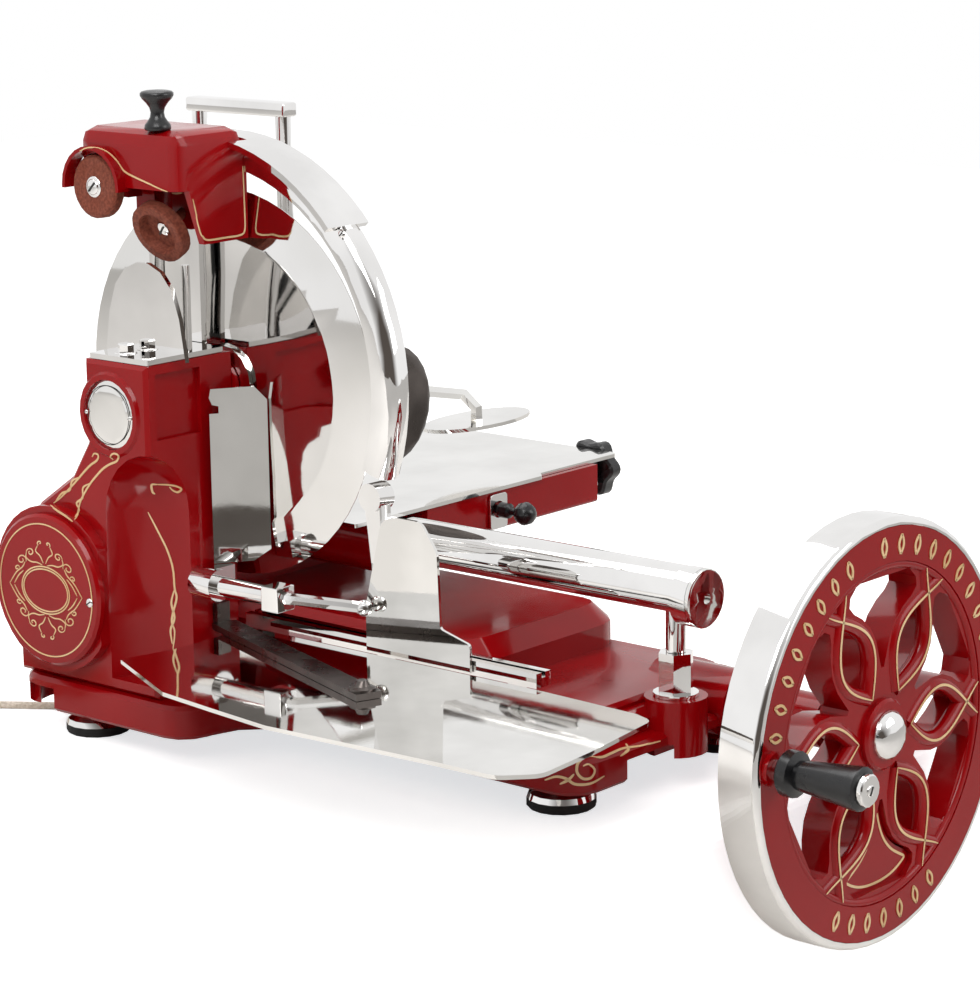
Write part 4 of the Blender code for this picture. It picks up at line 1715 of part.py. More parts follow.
def deflector_rod():
    face = COLUMN_NEAR - FIT_GAP
    flange_near = face - ROD_FLANGE_LENGTH
    stem = turned(
        [(0.0, 0.0), (0.0, ROD_RADIUS), (flange_near - ROD_NEAR, ROD_RADIUS),
         (flange_near - ROD_NEAR, ROD_FLANGE_RADIUS), (face - ROD_NEAR, ROD_FLANGE_RADIUS),
         (face - ROD_NEAR, 0.0)],
        (ROD_X, ROD_NEAR, ROD_HEIGHT), "Y", COARSE)
    nut = box((ROD_X - ROD_RADIUS - EMBED, ROD_NEAR - EMBED, ROD_HEIGHT - ROD_RADIUS - EMBED),
              (ROD_X + ROD_RADIUS + EMBED, ROD_NEAR + ROD_RADIUS * 2, ROD_HEIGHT + ROD_RADIUS + EMBED),
              EMBED / 2)
    ball = Vector((LINK_BALL_X, LINK_BALL_Y, LINK_BALL_HEIGHT))
    link = tube([(ROD_X, ROD_NEAR + EMBED, ROD_HEIGHT), (ROD_X + LINK_RADIUS, ROD_NEAR - LINK_RADIUS * 2,
        ROD_HEIGHT),
                 tuple(ball)], LINK_RADIUS, 2)
    knob = turned(
        [(LINK_BALL_RADIUS * (1 - math.cos(math.radians(a))),
          LINK_BALL_RADIUS * math.sin(math.radians(a)) if 0 < a < 180 else 0.0) for a in range(0, 181, 30)],
        ball - Vector((0.0, 0.0, LINK_BALL_RADIUS)), "Z", SMALL)
    seat = box((SEAT_LEFT, SEAT_NEAR, ROD_HEIGHT - EMBED),
               (SEAT_RIGHT, face - FIT_GAP, DEFLECTOR_BOTTOM - FIT_GAP))
    finished(united(stem, nut, link, knob, seat), "deflector_rod", "chrome")


def coil_points():
    """The coil from its entry: in along the lower layer, up, and out along the upper one."""
    pitch = CORD_DIAMETER + CORD_GAP
    outer = COIL_INNER_RADIUS + pitch * COIL_TURNS_EACH_LAYER
    climb = COIL_POINTS_PER_TURN // 2
    per_layer = COIL_TURNS_EACH_LAYER * COIL_POINTS_PER_TURN
    points = []
    for step in range(per_layer * 2 + climb + 1):
        angle = math.radians(COIL_ENTRY_DEG) + math.tau * step / COIL_POINTS_PER_TURN
        if step <= per_layer:
            radius, level = outer - pitch * step / COIL_POINTS_PER_TURN, 0.0
        elif step <= per_layer + climb:
            radius, level = COIL_INNER_RADIUS, pitch * (step - per_layer) / climb
        else:
            out = step - per_layer - climb
            radius, level = COIL_INNER_RADIUS + pitch * out / COIL_POINTS_PER_TURN, pitch
        points.append(
            Vector((COIL_X + radius * math.cos(angle), COIL_Y + radius * math.sin(angle),
                CORD_REST + level))
        )
    ahead = (points[0] - points[1]).normalized()
    after = (points[-1] - points[-2]).normalized()
    return [points[0] + ahead * CORD_DIAMETER] + points + [points[-1] + after * CORD_DIAMETER]


def least_gap(points, diameter):
    """The least space between stretches of a wound cord that aren't neighbours along it."""
    skip = COIL_POINTS_PER_TURN // 2
    least = min(
        (points[i] - points[j]).length for i in range(len(points)) for j in range(i + skip, len(points))
    )
    return least - diameter


def smooth_route(route, steps):
    """Points on a smooth curve through the route's own points."""
    places = [Vector(place) for place in route]
    padded = [places[0] * 2 - places[1]] + places + [places[-1] * 2 - places[-2]]
    made = []
    for i in range(1, len(padded) - 2):
        a, b, c, d = padded[i - 1:i + 3]
        for step in range(steps):
            t = step / steps
            made.append(
                (b * 2 + (c - a) * t + (a * 2 - b * 5 + c * 4 - d) * t * t
                 + (b * 3 - a - c * 3 + d) * t * t * t) / 2
            )
    made.append(places[-1])
    return made


def cord():
    gland = turned(
        [(0.0, 0.0), (0.0, GLAND_RADIUS - FIT_GAP * 4), (GLAND_LENGTH / 4, GLAND_RADIUS),
        (GLAND_LENGTH, GLAND_RADIUS),
         (GLAND_LENGTH, 0.0)],
        (GLAND_X, GLAND_Y, PLINTH_TOP - BASE_WALL - FIT_GAP - GLAND_LENGTH), "Z", SMALL)
    finished(gland, "cord_gland", "black_rubber")
    wound = coil_points()
    entry = (wound[0] - wound[1]).normalized()
    route = list(CORD_ROUTE) + [tuple(wound[0] + entry * FIT_GAP)]
    finished(tube(smooth_route(route, 2), CORD_DIAMETER / 2, 2), "cord_lead", "cream_cord")
    finished(tube(wound, CORD_DIAMETER / 2, 1), "cord_coil", "cream_cord")
    print(f"least gap in the coil {least_gap(wound, CORD_DIAMETER) * 1000:.2f} mm")
    away = (wound[-1] - wound[-2]).normalized()
    start = wound[-1] + away * FIT_GAP
    body = CORD_DIAMETER + CORD_GAP + CORD_REST - FIT_GAP
    plug = turned(
        [(0.0, 0.0), (0.0, PLUG_NECK_RADIUS), (PLUG_NECK_LENGTH, PLUG_NECK_RADIUS),
        (PLUG_NECK_LENGTH + EMBED, body - EMBED / 2),
         (PLUG_LENGTH - EMBED, body), (PLUG_LENGTH, body - EMBED), (PLUG_LENGTH, 0.0)],
        start, away, COARSE)
    across = Vector((-away.y, away.x, 0.0)) * (PIN_SPACING / 2)
    pins = [
        cylinder(start + away * (PLUG_LENGTH - EMBED) + across * side, away, PIN_LENGTH + EMBED,
            PIN_RADIUS, segments=SMALL)
        for side in (1, -1)
    ]
    finished(united(plug, *pins), "cord_plug", "cream_cord")


base_casting()
column_casting()
round_cover()
badge_disc()
feet()
flywheel_rim()
flywheel_web()
main_shaft()
hub_cap()
handle()
shaft_housing_and_bushes()
gears_and_chain()
blade_and_shaft()
blade_guard_ring()
guard_end_bracket()
slice_guard_plate()
guide_rail()
tray()
tray_arm()
carriage_bar()
bar_end_cap()
bar_supports()
carriage_slide()
ball_knob()
meat_table()
feed_knob()
press_frame()
press_plate()
press_disc()
sharpener_housing()
sharpener_knob()
stones()
sharpener_bracket()
deflector()
deflector_rod()
cord()
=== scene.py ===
import json
import math

import bmesh
import bpy
import numpy as np
from mathutils import Matrix, Vector
from mathutils.bvhtree import BVHTree


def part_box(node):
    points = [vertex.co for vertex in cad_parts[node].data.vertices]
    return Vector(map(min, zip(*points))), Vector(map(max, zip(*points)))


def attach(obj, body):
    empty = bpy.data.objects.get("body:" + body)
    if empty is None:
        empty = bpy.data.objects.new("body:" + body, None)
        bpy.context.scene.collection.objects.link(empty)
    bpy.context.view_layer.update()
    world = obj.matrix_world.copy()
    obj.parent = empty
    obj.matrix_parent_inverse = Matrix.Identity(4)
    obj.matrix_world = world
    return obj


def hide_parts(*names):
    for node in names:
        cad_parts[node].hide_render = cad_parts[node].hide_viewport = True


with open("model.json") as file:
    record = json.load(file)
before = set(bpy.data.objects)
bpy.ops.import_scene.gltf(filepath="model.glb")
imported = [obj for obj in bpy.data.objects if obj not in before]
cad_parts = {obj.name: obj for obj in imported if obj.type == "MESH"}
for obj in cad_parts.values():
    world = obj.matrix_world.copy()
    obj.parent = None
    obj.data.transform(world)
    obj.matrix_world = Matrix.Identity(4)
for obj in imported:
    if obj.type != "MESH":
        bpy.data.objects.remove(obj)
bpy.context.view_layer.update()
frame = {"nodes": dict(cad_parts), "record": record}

for startup in ("Cube", "Light", "Camera"):
    if startup in bpy.data.objects:
        bpy.data.objects.remove(bpy.data.objects[startup], do_unlink=True)

# The machine's own frame: zero on the counter below the blade, +X to the meat, -Y to the wheel
WHEEL_X = 0.158
WHEEL_FRONT = -0.501
WHEEL_HEIGHT = 0.049
BLADE_HEIGHT = 0.275
rim_low, rim_high = (Vector(corner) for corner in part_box("flywheel_rim"))
SHIFT = Vector((
    (rim_low.x + rim_high.x) / 2 - WHEEL_X,
    rim_low.y - WHEEL_FRONT,
    (rim_low.z + rim_high.z) / 2 - WHEEL_HEIGHT,
))
nodes = frame["nodes"]
SCENE = bpy.context.scene
SCENE.view_settings.view_transform = "Standard"


def at(x, y, z):
    return Vector((x, y, z)) + SHIFT


# The camera stands where the photograph was taken from
CAMERA_PLACE = at(-1.7094, -1.7372, 0.7154)
CAMERA_YAW = 0.8600
CAMERA_PITCH = 0.2141
CAMERA_ROLL = -0.0139
FOCAL_PIXELS = 3219.0
SENSOR = 36.0
FRAME_WIDTH = 980
MIDDLE_X = 490.0
MIDDLE_Y = 490.5
ahead = Vector((
    math.sin(CAMERA_YAW) * math.cos(CAMERA_PITCH),
    math.cos(CAMERA_YAW) * math.cos(CAMERA_PITCH),
    -math.sin(CAMERA_PITCH),
))
level_right = Vector((math.cos(CAMERA_YAW), -math.sin(CAMERA_YAW), 0.0))
level_up = level_right.cross(ahead)
right = math.cos(CAMERA_ROLL) * level_right + math.sin(CAMERA_ROLL) * level_up
upward = math.cos(CAMERA_ROLL) * level_up - math.sin(CAMERA_ROLL) * level_right
lens = bpy.data.cameras.new("view")
lens.sensor_fit = "HORIZONTAL"
lens.sensor_width = SENSOR
lens.lens = FOCAL_PIXELS / FRAME_WIDTH * SENSOR
lens.clip_start = 0.05
lens.clip_end = 60.0
camera = bpy.data.objects.new("view", lens)
SCENE.collection.objects.link(camera)
camera_turn = Matrix((right, upward, -ahead)).transposed().to_4x4()
camera.matrix_world = Matrix.Translation(CAMERA_PLACE) @ camera_turn
SCENE.camera = camera


def sight(px, py):
    """The direction in which a pixel of the frame looks."""
    aim = ahead + right * ((px - MIDDLE_X) / FOCAL_PIXELS) - upward * ((py - MIDDLE_Y) / FOCAL_PIXELS)
    return aim.normalized()


# Materials
def node_material(name, base, roughness, metallic=0.0):
    made = bpy.data.materials.new(name)
    made.use_nodes = True
    shader = made.node_tree.nodes["Principled BSDF"]
    shader.inputs["Base Color"].default_value = (*base, 1.0)
    shader.inputs["Roughness"].default_value = roughness
    shader.inputs["Metallic"].default_value = metallic
    made.diffuse_color = (*base, 1.0)
    return made, made.node_tree, shader


def noise(tree, scale, detail=3.0):
    place = tree.nodes.new("ShaderNodeTexCoord")
    grain = tree.nodes.new("ShaderNodeTexNoise")
    grain.inputs["Scale"].default_value = scale
    grain.inputs["Detail"].default_value = detail
    tree.links.new(place.outputs["Object"], grain.inputs["Vector"])
    return grain


def vary_roughness(tree, shader, grain, low, high):
    spread = tree.nodes.new("ShaderNodeMapRange")
    spread.inputs["From Min"].default_value = 0.3
    spread.inputs["From Max"].default_value = 0.7
    spread.inputs["To Min"].default_value = low
    spread.inputs["To Max"].default_value = high
    tree.links.new(grain.outputs["Fac"], spread.inputs["Value"])
    tree.links.new(spread.outputs["Result"], shader.inputs["Roughness"])


def vary_colour(tree, shader, grain, dark, light):
    ramp = tree.nodes.new("ShaderNodeValToRGB")
    ramp.color_ramp.elements[0].position = 0.35
    ramp.color_ramp.elements[0].color = (*dark, 1.0)
    ramp.color_ramp.elements[1].position = 0.65
    ramp.color_ramp.elements[1].color = (*light, 1.0)
    tree.links.new(grain.outputs["Fac"], ramp.inputs["Fac"])
    tree.links.new(ramp.outputs["Color"], shader.inputs["Base Color"])


def add_bump(tree, shader, grain, strength, distance):
    bump = tree.nodes.new("ShaderNodeBump")
    bump.inputs["Strength"].default_value = strength
    bump.inputs["Distance"].default_value = distance
    tree.links.new(grain.outputs["Fac"], bump.inputs["Height"])
    tree.links.new(bump.outputs["Normal"], shader.inputs["Normal"])


def enamel(name, dark, light):
    """Stove enamel: a clear gloss over deep red, with a faint orange peel."""
    made, tree, shader = node_material(name, light, 0.16)
    shader.inputs["Coat Weight"].default_value = 0.15
    shader.inputs["Specular IOR Level"].default_value = 0.22
    shader.inputs["Coat Roughness"].default_value = 0.04
    vary_colour(tree, shader, noise(tree, 7.0), dark, light)
    vary_roughness(tree, shader, noise(tree, 38.0), 0.10, 0.20)
    add_bump(tree, shader, noise(tree, 170.0, 2.0), 0.05, 0.0004)
    return made


def plated(name, dark, light, low, high, bump=0.02):
    """Polished or plated metal with a little life in its gloss."""
    made, tree, shader = node_material(name, light, low, 1.0)
    vary_colour(tree, shader, noise(tree, 16.0), dark, light)
    vary_roughness(tree, shader, noise(tree, 60.0, 4.0), low, high)
    add_bump(tree, shader, noise(tree, 420.0, 2.0), bump, 0.0002)
    return made


def ground_blade(name):
    """Ground steel whose fine rings run round the blade's axis."""
    made, tree, shader = node_material(name, (0.80, 0.79, 0.77), 0.10, 1.0)
    place = tree.nodes.new("ShaderNodeTexCoord")
    centre = tree.nodes.new("ShaderNodeVectorMath")
    centre.operation = "SUBTRACT"
    centre.inputs[1].default_value = at(0.0, 0.0, BLADE_HEIGHT)
    flat = tree.nodes.new("ShaderNodeVectorMath")
    flat.operation = "MULTIPLY"
    flat.inputs[1].default_value = (0.0, 1.0, 1.0)
    length = tree.nodes.new("ShaderNodeVectorMath")
    length.operation = "LENGTH"
    rings = tree.nodes.new("ShaderNodeTexNoise")
    rings.noise_dimensions = "1D"
    rings.inputs["Scale"].default_value = 900.0
    rings.inputs["Detail"].default_value = 4.0
    tree.links.new(place.outputs["Object"], centre.inputs[0])
    tree.links.new(centre.outputs["Vector"], flat.inputs[0])
    tree.links.new(flat.outputs["Vector"], length.inputs[0])
    tree.links.new(length.outputs["Value"], rings.inputs["W"])
    vary_roughness(tree, shader, rings, 0.02, 0.055)
    add_bump(tree, shader, rings, 0.012, 0.0001)
    vary_colour(tree, shader, noise(tree, 9.0), (0.74, 0.73, 0.71), (0.84, 0.83, 0.82))
    return made


def abrasive(name, dark, light):
    made, tree, shader = node_material(name, light, 0.82)
    vary_colour(tree, shader, noise(tree, 420.0, 4.0), dark, light)
    vary_roughness(tree, shader, noise(tree, 90.0), 0.72, 0.92)
    add_bump(tree, shader, noise(tree, 1300.0, 3.0), 0.5, 0.0004)
    return made


def moulded(name, dark, light, low, high, scale, bump):
    made, tree, shader = node_material(name, light, low)
    vary_colour(tree, shader, noise(tree, 12.0), dark, light)
    vary_roughness(tree, shader, noise(tree, 50.0), low, high)
    add_bump(tree, shader, noise(tree, scale, 3.0), bump, 0.0004)
    return made


def braided(name, dark, light):
    """Braided sleeve: fine crossing threads as small cells."""
    made, tree, shader = node_material(name, light, 0.62)
    place = tree.nodes.new("ShaderNodeTexCoord")
    cells = tree.nodes.new("ShaderNodeTexVoronoi")
    cells.inputs["Scale"].default_value = 900.0
    tree.links.new(place.outputs["Object"], cells.inputs["Vector"])
    bump = tree.nodes.new("ShaderNodeBump")
    bump.inputs["Strength"].default_value = 0.5
    bump.inputs["Distance"].default_value = 0.0004
    tree.links.new(cells.outputs["Distance"], bump.inputs["Height"])
    tree.links.new(bump.outputs["Normal"], shader.inputs["Normal"])
    vary_colour(tree, shader, noise(tree, 320.0), dark, light)
    vary_roughness(tree, shader, noise(tree, 120.0), 0.55, 0.75)
    shader.inputs["Sheen Weight"].default_value = 0.3
    return made


LOOKS = {
    "red_enamel": enamel("red_enamel_gloss", (0.27, 0.0010, 0.0024), (0.33, 0.0014, 0.0034)),
    "chrome": plated("bright_chrome", (0.80, 0.79, 0.78), (0.90, 0.89, 0.88), 0.02, 0.05),
    "polished_steel": plated("polished_steel", (0.74, 0.73, 0.71), (0.84, 0.83, 0.81), 0.025, 0.06),
    "dark_steel": plated("oiled_steel", (0.07, 0.06, 0.055), (0.16, 0.14, 0.13), 0.22, 0.38, 0.1),
    "black_plastic": moulded(
        "black_resin", (0.006, 0.006, 0.007), (0.014, 0.014, 0.015), 0.20, 0.34, 260.0, 0.06),
    "black_rubber": moulded(
        "black_rubber", (0.008, 0.008, 0.008), (0.020, 0.020, 0.020), 0.65, 0.85, 500.0, 0.25),
    "brown_stone": abrasive("bonded_stone", (0.15, 0.030, 0.014), (0.27, 0.065, 0.034)),
    "brass": plated("turned_brass", (0.52, 0.34, 0.12), (0.68, 0.48, 0.20), 0.16, 0.30, 0.05),
    "cream_cord": braided("cream_braid", (0.52, 0.45, 0.36), (0.74, 0.67, 0.57)),
}
BLADE_STEEL = ground_blade("ground_blade_steel")
STRIPE = moulded("cream_gold_line", (0.72, 0.47, 0.22), (0.88, 0.64, 0.36), 0.35, 0.5, 300.0, 0.05)
# Painted shade: near-black bands that stand for the shade inside screw slots and the badge's engraved ring
GROOVE_SHADE = moulded("painted_groove_shade", (0.012, 0.011, 0.010), (0.03, 0.027, 0.025), 0.5, 0.7, 300.0, 0.05)
RECORD_SLOTS = {entry["node"]: entry["material_slot"] for entry in frame["record"]["subparts"]}
for name, node in nodes.items():
    look = LOOKS.get(RECORD_SLOTS.get(name, "chrome"), LOOKS["chrome"])
    if name == "blade":
        look = BLADE_STEEL
    node.data.materials.clear()
    node.data.materials.append(look)


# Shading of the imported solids: faces that meet softly shade as one surface
SOFT_COSINE = math.cos(math.radians(36.0))
PLACE_DECIMALS = 6
LEAST_LENGTH = 1e-12


def soften(node):
    mesh = node.data
    for polygon in mesh.polygons:
        polygon.use_smooth = True
    corners = np.empty(len(mesh.loops), np.int64)
    mesh.loops.foreach_get("vertex_index", corners)
    places = np.empty(len(mesh.vertices) * 3)
    mesh.vertices.foreach_get("co", places)
    places = places.reshape(-1, 3)
    faces = corners.reshape(-1, 3)
    edge_a = places[faces[:, 1]] - places[faces[:, 0]]
    edge_b = places[faces[:, 2]] - places[faces[:, 0]]
    cross = np.cross(edge_a, edge_b)
    size = np.linalg.norm(cross, axis=1, keepdims=True)
    plain = cross / np.maximum(size, LEAST_LENGTH)
    _, spot = np.unique(np.round(places, PLACE_DECIMALS), axis=0, return_inverse=True)
    spot = spot.reshape(-1)[corners]
    face_of = np.repeat(np.arange(len(faces)), 3)
    order = np.argsort(spot, kind="stable")
    starts = np.flatnonzero(np.r_[True, np.diff(spot[order]) > 0, True])
    soft = np.empty((len(corners), 3))
    for first, last in zip(starts[:-1], starts[1:]):
        group = order[first:last]
        ways = plain[face_of[group]]
        near = (ways @ ways.T) > SOFT_COSINE
        total = near @ cross[face_of[group]]
        length = np.linalg.norm(total, axis=1, keepdims=True)
        soft[group] = total / np.maximum(length, LEAST_LENGTH)
    mesh.normals_split_custom_set(soft.tolist())


for node in nodes.values():
    if len(node.data.loops) == len(node.data.polygons) * 3:
        soften(node)


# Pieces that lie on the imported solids
TREES = {}


def tree_of(*names):
    if names not in TREES:
        points = []
        faces = []
        for name in names:
            base = len(points)
            points += [vertex.co.copy() for vertex in nodes[name].data.vertices]
            faces += [[base + i for i in polygon.vertices] for polygon in nodes[name].data.polygons]
        TREES[names] = BVHTree.FromPolygons(points, faces)
    return TREES[names]


def struck(tree, start, way):
    """Where a line from start along way meets the solids, with the normal there that faces the start."""
    place, normal, _, _ = tree.ray_cast(start, way)
    if place is None:
        return None
    return place, (-normal if normal.dot(way) > 0 else normal)


def seen_on(names, pixels):
    """Where pixels of the frame look at the named solids, with the surface's normal there."""
    tree = tree_of(*names)
    found = [struck(tree, CAMERA_PLACE, sight(px, py)) for px, py in pixels]
    return [spot for spot in found if spot]


def laid_on(names, starts, way):
    """Where lines from starts along way meet the named solids."""
    tree = tree_of(*names)
    found = [struck(tree, start, way) for start in starts]
    return [spot for spot in found if spot]


def smooth(points, steps=6, closed=False):
    """Points on a smooth curve through the given points, in two or three dimensions."""
    places = [np.array(p, float) for p in points]
    if closed:
        places = [places[-1]] + places + [places[0], places[1]]
    else:
        places = [places[0] * 2 - places[1]] + places + [places[-1] * 2 - places[-2]]
    made = []
    for a, b, c, d in zip(places, places[1:], places[2:], places[3:]):
        for step in range(steps):
            t = step / steps
            made.append(
                (b * 2 + (c - a) * t + (a * 2 - b * 5 + c * 4 - d) * t * t
                 + (b * 3 - a - c * 3 + d) * t * t * t) / 2
            )
    if not closed:
        made.append(places[-2])
    return [tuple(p) for p in made]


def ellipse(a, b, count):
    return [(a * math.cos(math.tau * i / count), b * math.sin(math.tau * i / count)) for i in range(count)]


def object_of(name, shape):
    """An object made from a finished bmesh, which is freed."""
    mesh = bpy.data.meshes.new(name)
    shape.to_mesh(mesh)
    shape.free()
    return bpy.data.objects.new(name, mesh)


def placed(obj, body, slot, look=None, replaced=()):
    obj.data.materials.clear()
    obj.data.materials.append(look or LOOKS[slot])
    if obj.name not in SCENE.collection.objects:
        SCENE.collection.objects.link(obj)
    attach(obj, body)
    if replaced:
        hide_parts(*replaced)
    return obj


LINE_LIFT = 0.00015
LINE_BREAK = 0.012
LINE_TIP = 0.35
LINE_THICKNESS = 0.00035


def ribbons(name, lines, body, width, look=None, slot="brass", thickness=LINE_THICKNESS):
    """Painted lines as thin flat bands along places on a surface."""
    shape = bmesh.new()
    for spots, closed, widths in lines:
        count = len(spots)
        if count < 2:
            continue
        rows = []
        for i, (place, normal) in enumerate(spots):
            before = spots[(i - 1) % count][0] if closed or i else place
            after = spots[(i + 1) % count][0] if closed or i < count - 1 else place
            along = (after - before)
            along = along.normalized() if along.length else Vector((0, 0, 1))
            side = along.cross(normal).normalized()
            half = side * (width * widths[i] / 2)
            low = place + normal * LINE_LIFT
            high = place + normal * (LINE_LIFT + thickness)
            rows.append([shape.verts.new(p) for p in (low - half, high - half, high + half, low + half)])
        pairs = list(zip(rows, rows[1:]))
        if closed:
            pairs.append((rows[-1], rows[0]))
        for row, following in pairs:
            for i in range(4):
                j = (i + 1) % 4
                shape.faces.new((row[i], row[j], following[j], following[i]))
        if not closed:
            shape.faces.new(rows[0][::-1])
            shape.faces.new(rows[-1])
    bmesh.ops.recalc_face_normals(shape, faces=shape.faces)
    return placed(object_of(name, shape), body, slot, look or STRIPE)


def even(count):
    return [1.0] * count


def tapered(count):
    """Widths of a brush line that starts and ends in a point."""
    swell = [math.sin(math.pi * i / (count - 1)) ** 0.5 for i in range(count - 1)] + [0.0]
    return [LINE_TIP + (1 - LINE_TIP) * share for share in swell]


def pixel_lines(name, surfaces, body, width, strokes):
    lines = []
    for stroke, closed in strokes:
        spots = seen_on(surfaces, smooth(stroke, 5, closed))
        runs = [[]]
        for spot in spots:
            if runs[-1] and (spot[0] - runs[-1][-1][0]).length > LINE_BREAK:
                runs.append([])
            runs[-1].append(spot)
        for run in runs:
            if len(run) > 2:
                lines.append((run, closed, even(len(run)) if closed else tapered(len(run))))
    return ribbons(name, lines, body, width)


BEAD_PROFILE = ((1.0, 0.0), (1.0, 0.35), (0.88, 0.62), (0.62, 0.88), (0.30, 0.98))
HEXAGON_PROFILE = ((1.0, 0.0), (1.0, 0.85), (0.88, 1.0))
SLOT_SHARES = (-0.8, -0.4, 0.0, 0.4, 0.8)


def turned(name, place, turn, profile, sides, body, slot, soft=True, replaced=()):
    """A turned or many-sided piece from (radius, level) pairs, with its axis along turn's third column."""
    shape = bmesh.new()
    rows = []
    for radius, level in profile:
        rows.append([
            shape.verts.new(turn @ Vector((x, y, level)) + place) for x, y in ellipse(radius, radius, sides)
        ])
    for low, high in zip(rows, rows[1:]):
        for i in range(sides):
            j = (i + 1) % sides
            shape.faces.new((low[i], low[j], high[j], high[i]))
    shape.faces.new(rows[-1])
    shape.faces.new(rows[0][::-1])
    for face in shape.faces:
        face.smooth = soft
    return placed(object_of(name, shape), body, slot, None, replaced)


def standing(normal):
    return normal.to_track_quat("Z", "Y").to_matrix()


def bead(name, place, normal, radius, height, body, slot_turn=None, sides=20):
    """A low domed screw head; where slot_turn is given, its slot is a dark band of painted shade across it.
    """
    turn = standing(normal)
    profile = [(radius * share, height * rise) for share, rise in BEAD_PROFILE]
    turned(name, place, turn, profile, sides, body, "chrome")
    if slot_turn is not None:
        across = turn @ Vector((math.cos(slot_turn), math.sin(slot_turn), 0.0))
        top = place + normal * (height - LINE_LIFT)
        line = [(top + across * (radius * share), normal) for share in SLOT_SHARES]
        # Painted shade: the slot is a near-black band laid on the head, standing for the shade inside the
        # groove
        ribbons(name + "_slot", [(line, False, even(len(line)))], body, radius / 4, GROOVE_SHADE, "chrome")


def hexagon(name, place, normal, radius, height, body):
    """A plain hexagon nut, standing on its face."""
    profile = [(radius * share, height * rise) for share, rise in HEXAGON_PROFILE]
    turned(name, place, standing(normal), profile, 6, body, "chrome", False)


def round_curve(name, points, radius, body, slot, closed=False, shares=None, resolution=4):
    curve = bpy.data.curves.new(name, "CURVE")
    curve.dimensions = "3D"
    curve.bevel_depth = radius
    curve.bevel_resolution = resolution
    curve.use_fill_caps = not closed
    line = curve.splines.new("POLY")
    line.points.add(len(points) - 1)
    for i, point in enumerate(points):
        line.points[i].co = (*point, 1.0)
        line.points[i].radius = shares[i] if shares else 1.0
    line.use_cyclic_u = closed
    line.use_smooth = True
    return placed(bpy.data.objects.new(name, curve), body, slot)


# The mains cord, which leaves the rear lobe and lies in a coil behind the machine
CORD_DIAMETER = 0.006
CORD_GAP = 0.0014
CORD_REST = 0.0032
COIL_TURNS_EACH_LAYER = 3
COIL_STEPS = 40
COIL_INNER_RADIUS = 0.0290
COIL_PLACE = (-0.1750, 0.2300)
COIL_ENTRY_DEG = 34.8
CORD_ROUTE = (
    (-0.0775, 0.1000, 0.0341), (-0.0775, 0.1003, 0.0300), (-0.0745, 0.1055, 0.0250),
    (-0.0700, 0.1125, 0.0195), (-0.0640, 0.1210, 0.0135), (-0.0585, 0.1300, 0.0080),
    (-0.0545, 0.1385, 0.0045), (-0.0532, 0.1465, 0.0033), (-0.0560, 0.1540, 0.0032),
    (-0.0617, 0.1622, 0.0032), (-0.0680, 0.1713, 0.0032), (-0.0746, 0.1810, 0.0032),
    (-0.0817, 0.1912, 0.0032), (-0.0890, 0.2018, 0.0032), (-0.0964, 0.2124, 0.0032),
    (-0.1040, 0.2230, 0.0032), (-0.1117, 0.2338, 0.0032),
)


def coil_points():
    pitch = CORD_DIAMETER + CORD_GAP
    outer = COIL_INNER_RADIUS + pitch * COIL_TURNS_EACH_LAYER
    climb = COIL_STEPS // 2
    per_layer = COIL_TURNS_EACH_LAYER * COIL_STEPS
    points = []
    for step in range(per_layer * 2 + climb + 1):
        angle = math.radians(COIL_ENTRY_DEG) + math.tau * step / COIL_STEPS
        if step <= per_layer:
            radius, rise = outer - pitch * step / COIL_STEPS, 0.0
        elif step <= per_layer + climb:
            radius, rise = COIL_INNER_RADIUS, pitch * (step - per_layer) / climb
        else:
            radius = COIL_INNER_RADIUS + pitch * (step - per_layer - climb) / COIL_STEPS
            rise = pitch
        points.append((COIL_PLACE[0] + radius * math.cos(angle), COIL_PLACE[1] + radius * math.sin(angle),
                       CORD_REST + rise))
    return points


wound = coil_points()
route = smooth(list(CORD_ROUTE) + [wound[0]], 4)
cord_line = [tuple(at(*p)) for p in route + wound[1:]]
cord = round_curve("mains_cord", cord_line, CORD_DIAMETER / 2, "machine", "cream_cord")
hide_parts("cord_lead", "cord_coil")
RELIEF_SHARES = (1.45, 1.42, 1.36, 1.30, 1.24, 1.18, 1.12, 1.08)
RELIEF_POINTS = smooth(CORD_ROUTE[:4], 3)[:len(RELIEF_SHARES)]
relief_line = [tuple(at(*p)) for p in RELIEF_POINTS]
relief = round_curve("cord_relief", relief_line, CORD_DIAMETER / 2, "machine", "black_rubber",
                     shares=RELIEF_SHARES)
TIE_ANGLE = math.radians(200.0)
TIE_MARGIN = 0.0038
TIE_LOW = 0.0008
TIE_OVER = 0.0012
TIE_RADIUS = 0.0007
tie_in = COIL_INNER_RADIUS - TIE_MARGIN
tie_out = COIL_INNER_RADIUS + (CORD_DIAMETER + CORD_GAP) * COIL_TURNS_EACH_LAYER + TIE_MARGIN
tie_top = CORD_DIAMETER * 2 + CORD_GAP + TIE_OVER
tie_corners = ((tie_in, TIE_LOW), (tie_out, TIE_LOW), (tie_out, tie_top), (tie_in, tie_top))
tie_line = []
for radius, level in tie_corners:
    tie_line.append(tuple(at(COIL_PLACE[0] + radius * math.cos(TIE_ANGLE),
                             COIL_PLACE[1] + radius * math.sin(TIE_ANGLE), level)))
tie = round_curve("cord_tie", tie_line, TIE_RADIUS, "machine", "black_rubber", closed=True)


# Flywheel: rounded petals, painted lines and plain leaf ornaments
PETAL_COUNT = 6
PETAL_INNER = 0.030
PETAL_OUTER = 0.112
PETAL_START = 0.0035
PETAL_END = 0.007
PETAL_STEPS = 26
WEB_FRONT = WHEEL_FRONT + 0.003
WHEEL_LINE = 0.0019
BEFORE_WHEEL = -0.56
TO_WHEEL = Vector((0.0, 1.0, 0.0))
FRONTWARD = Vector((0.0, -1.0, 0.0))


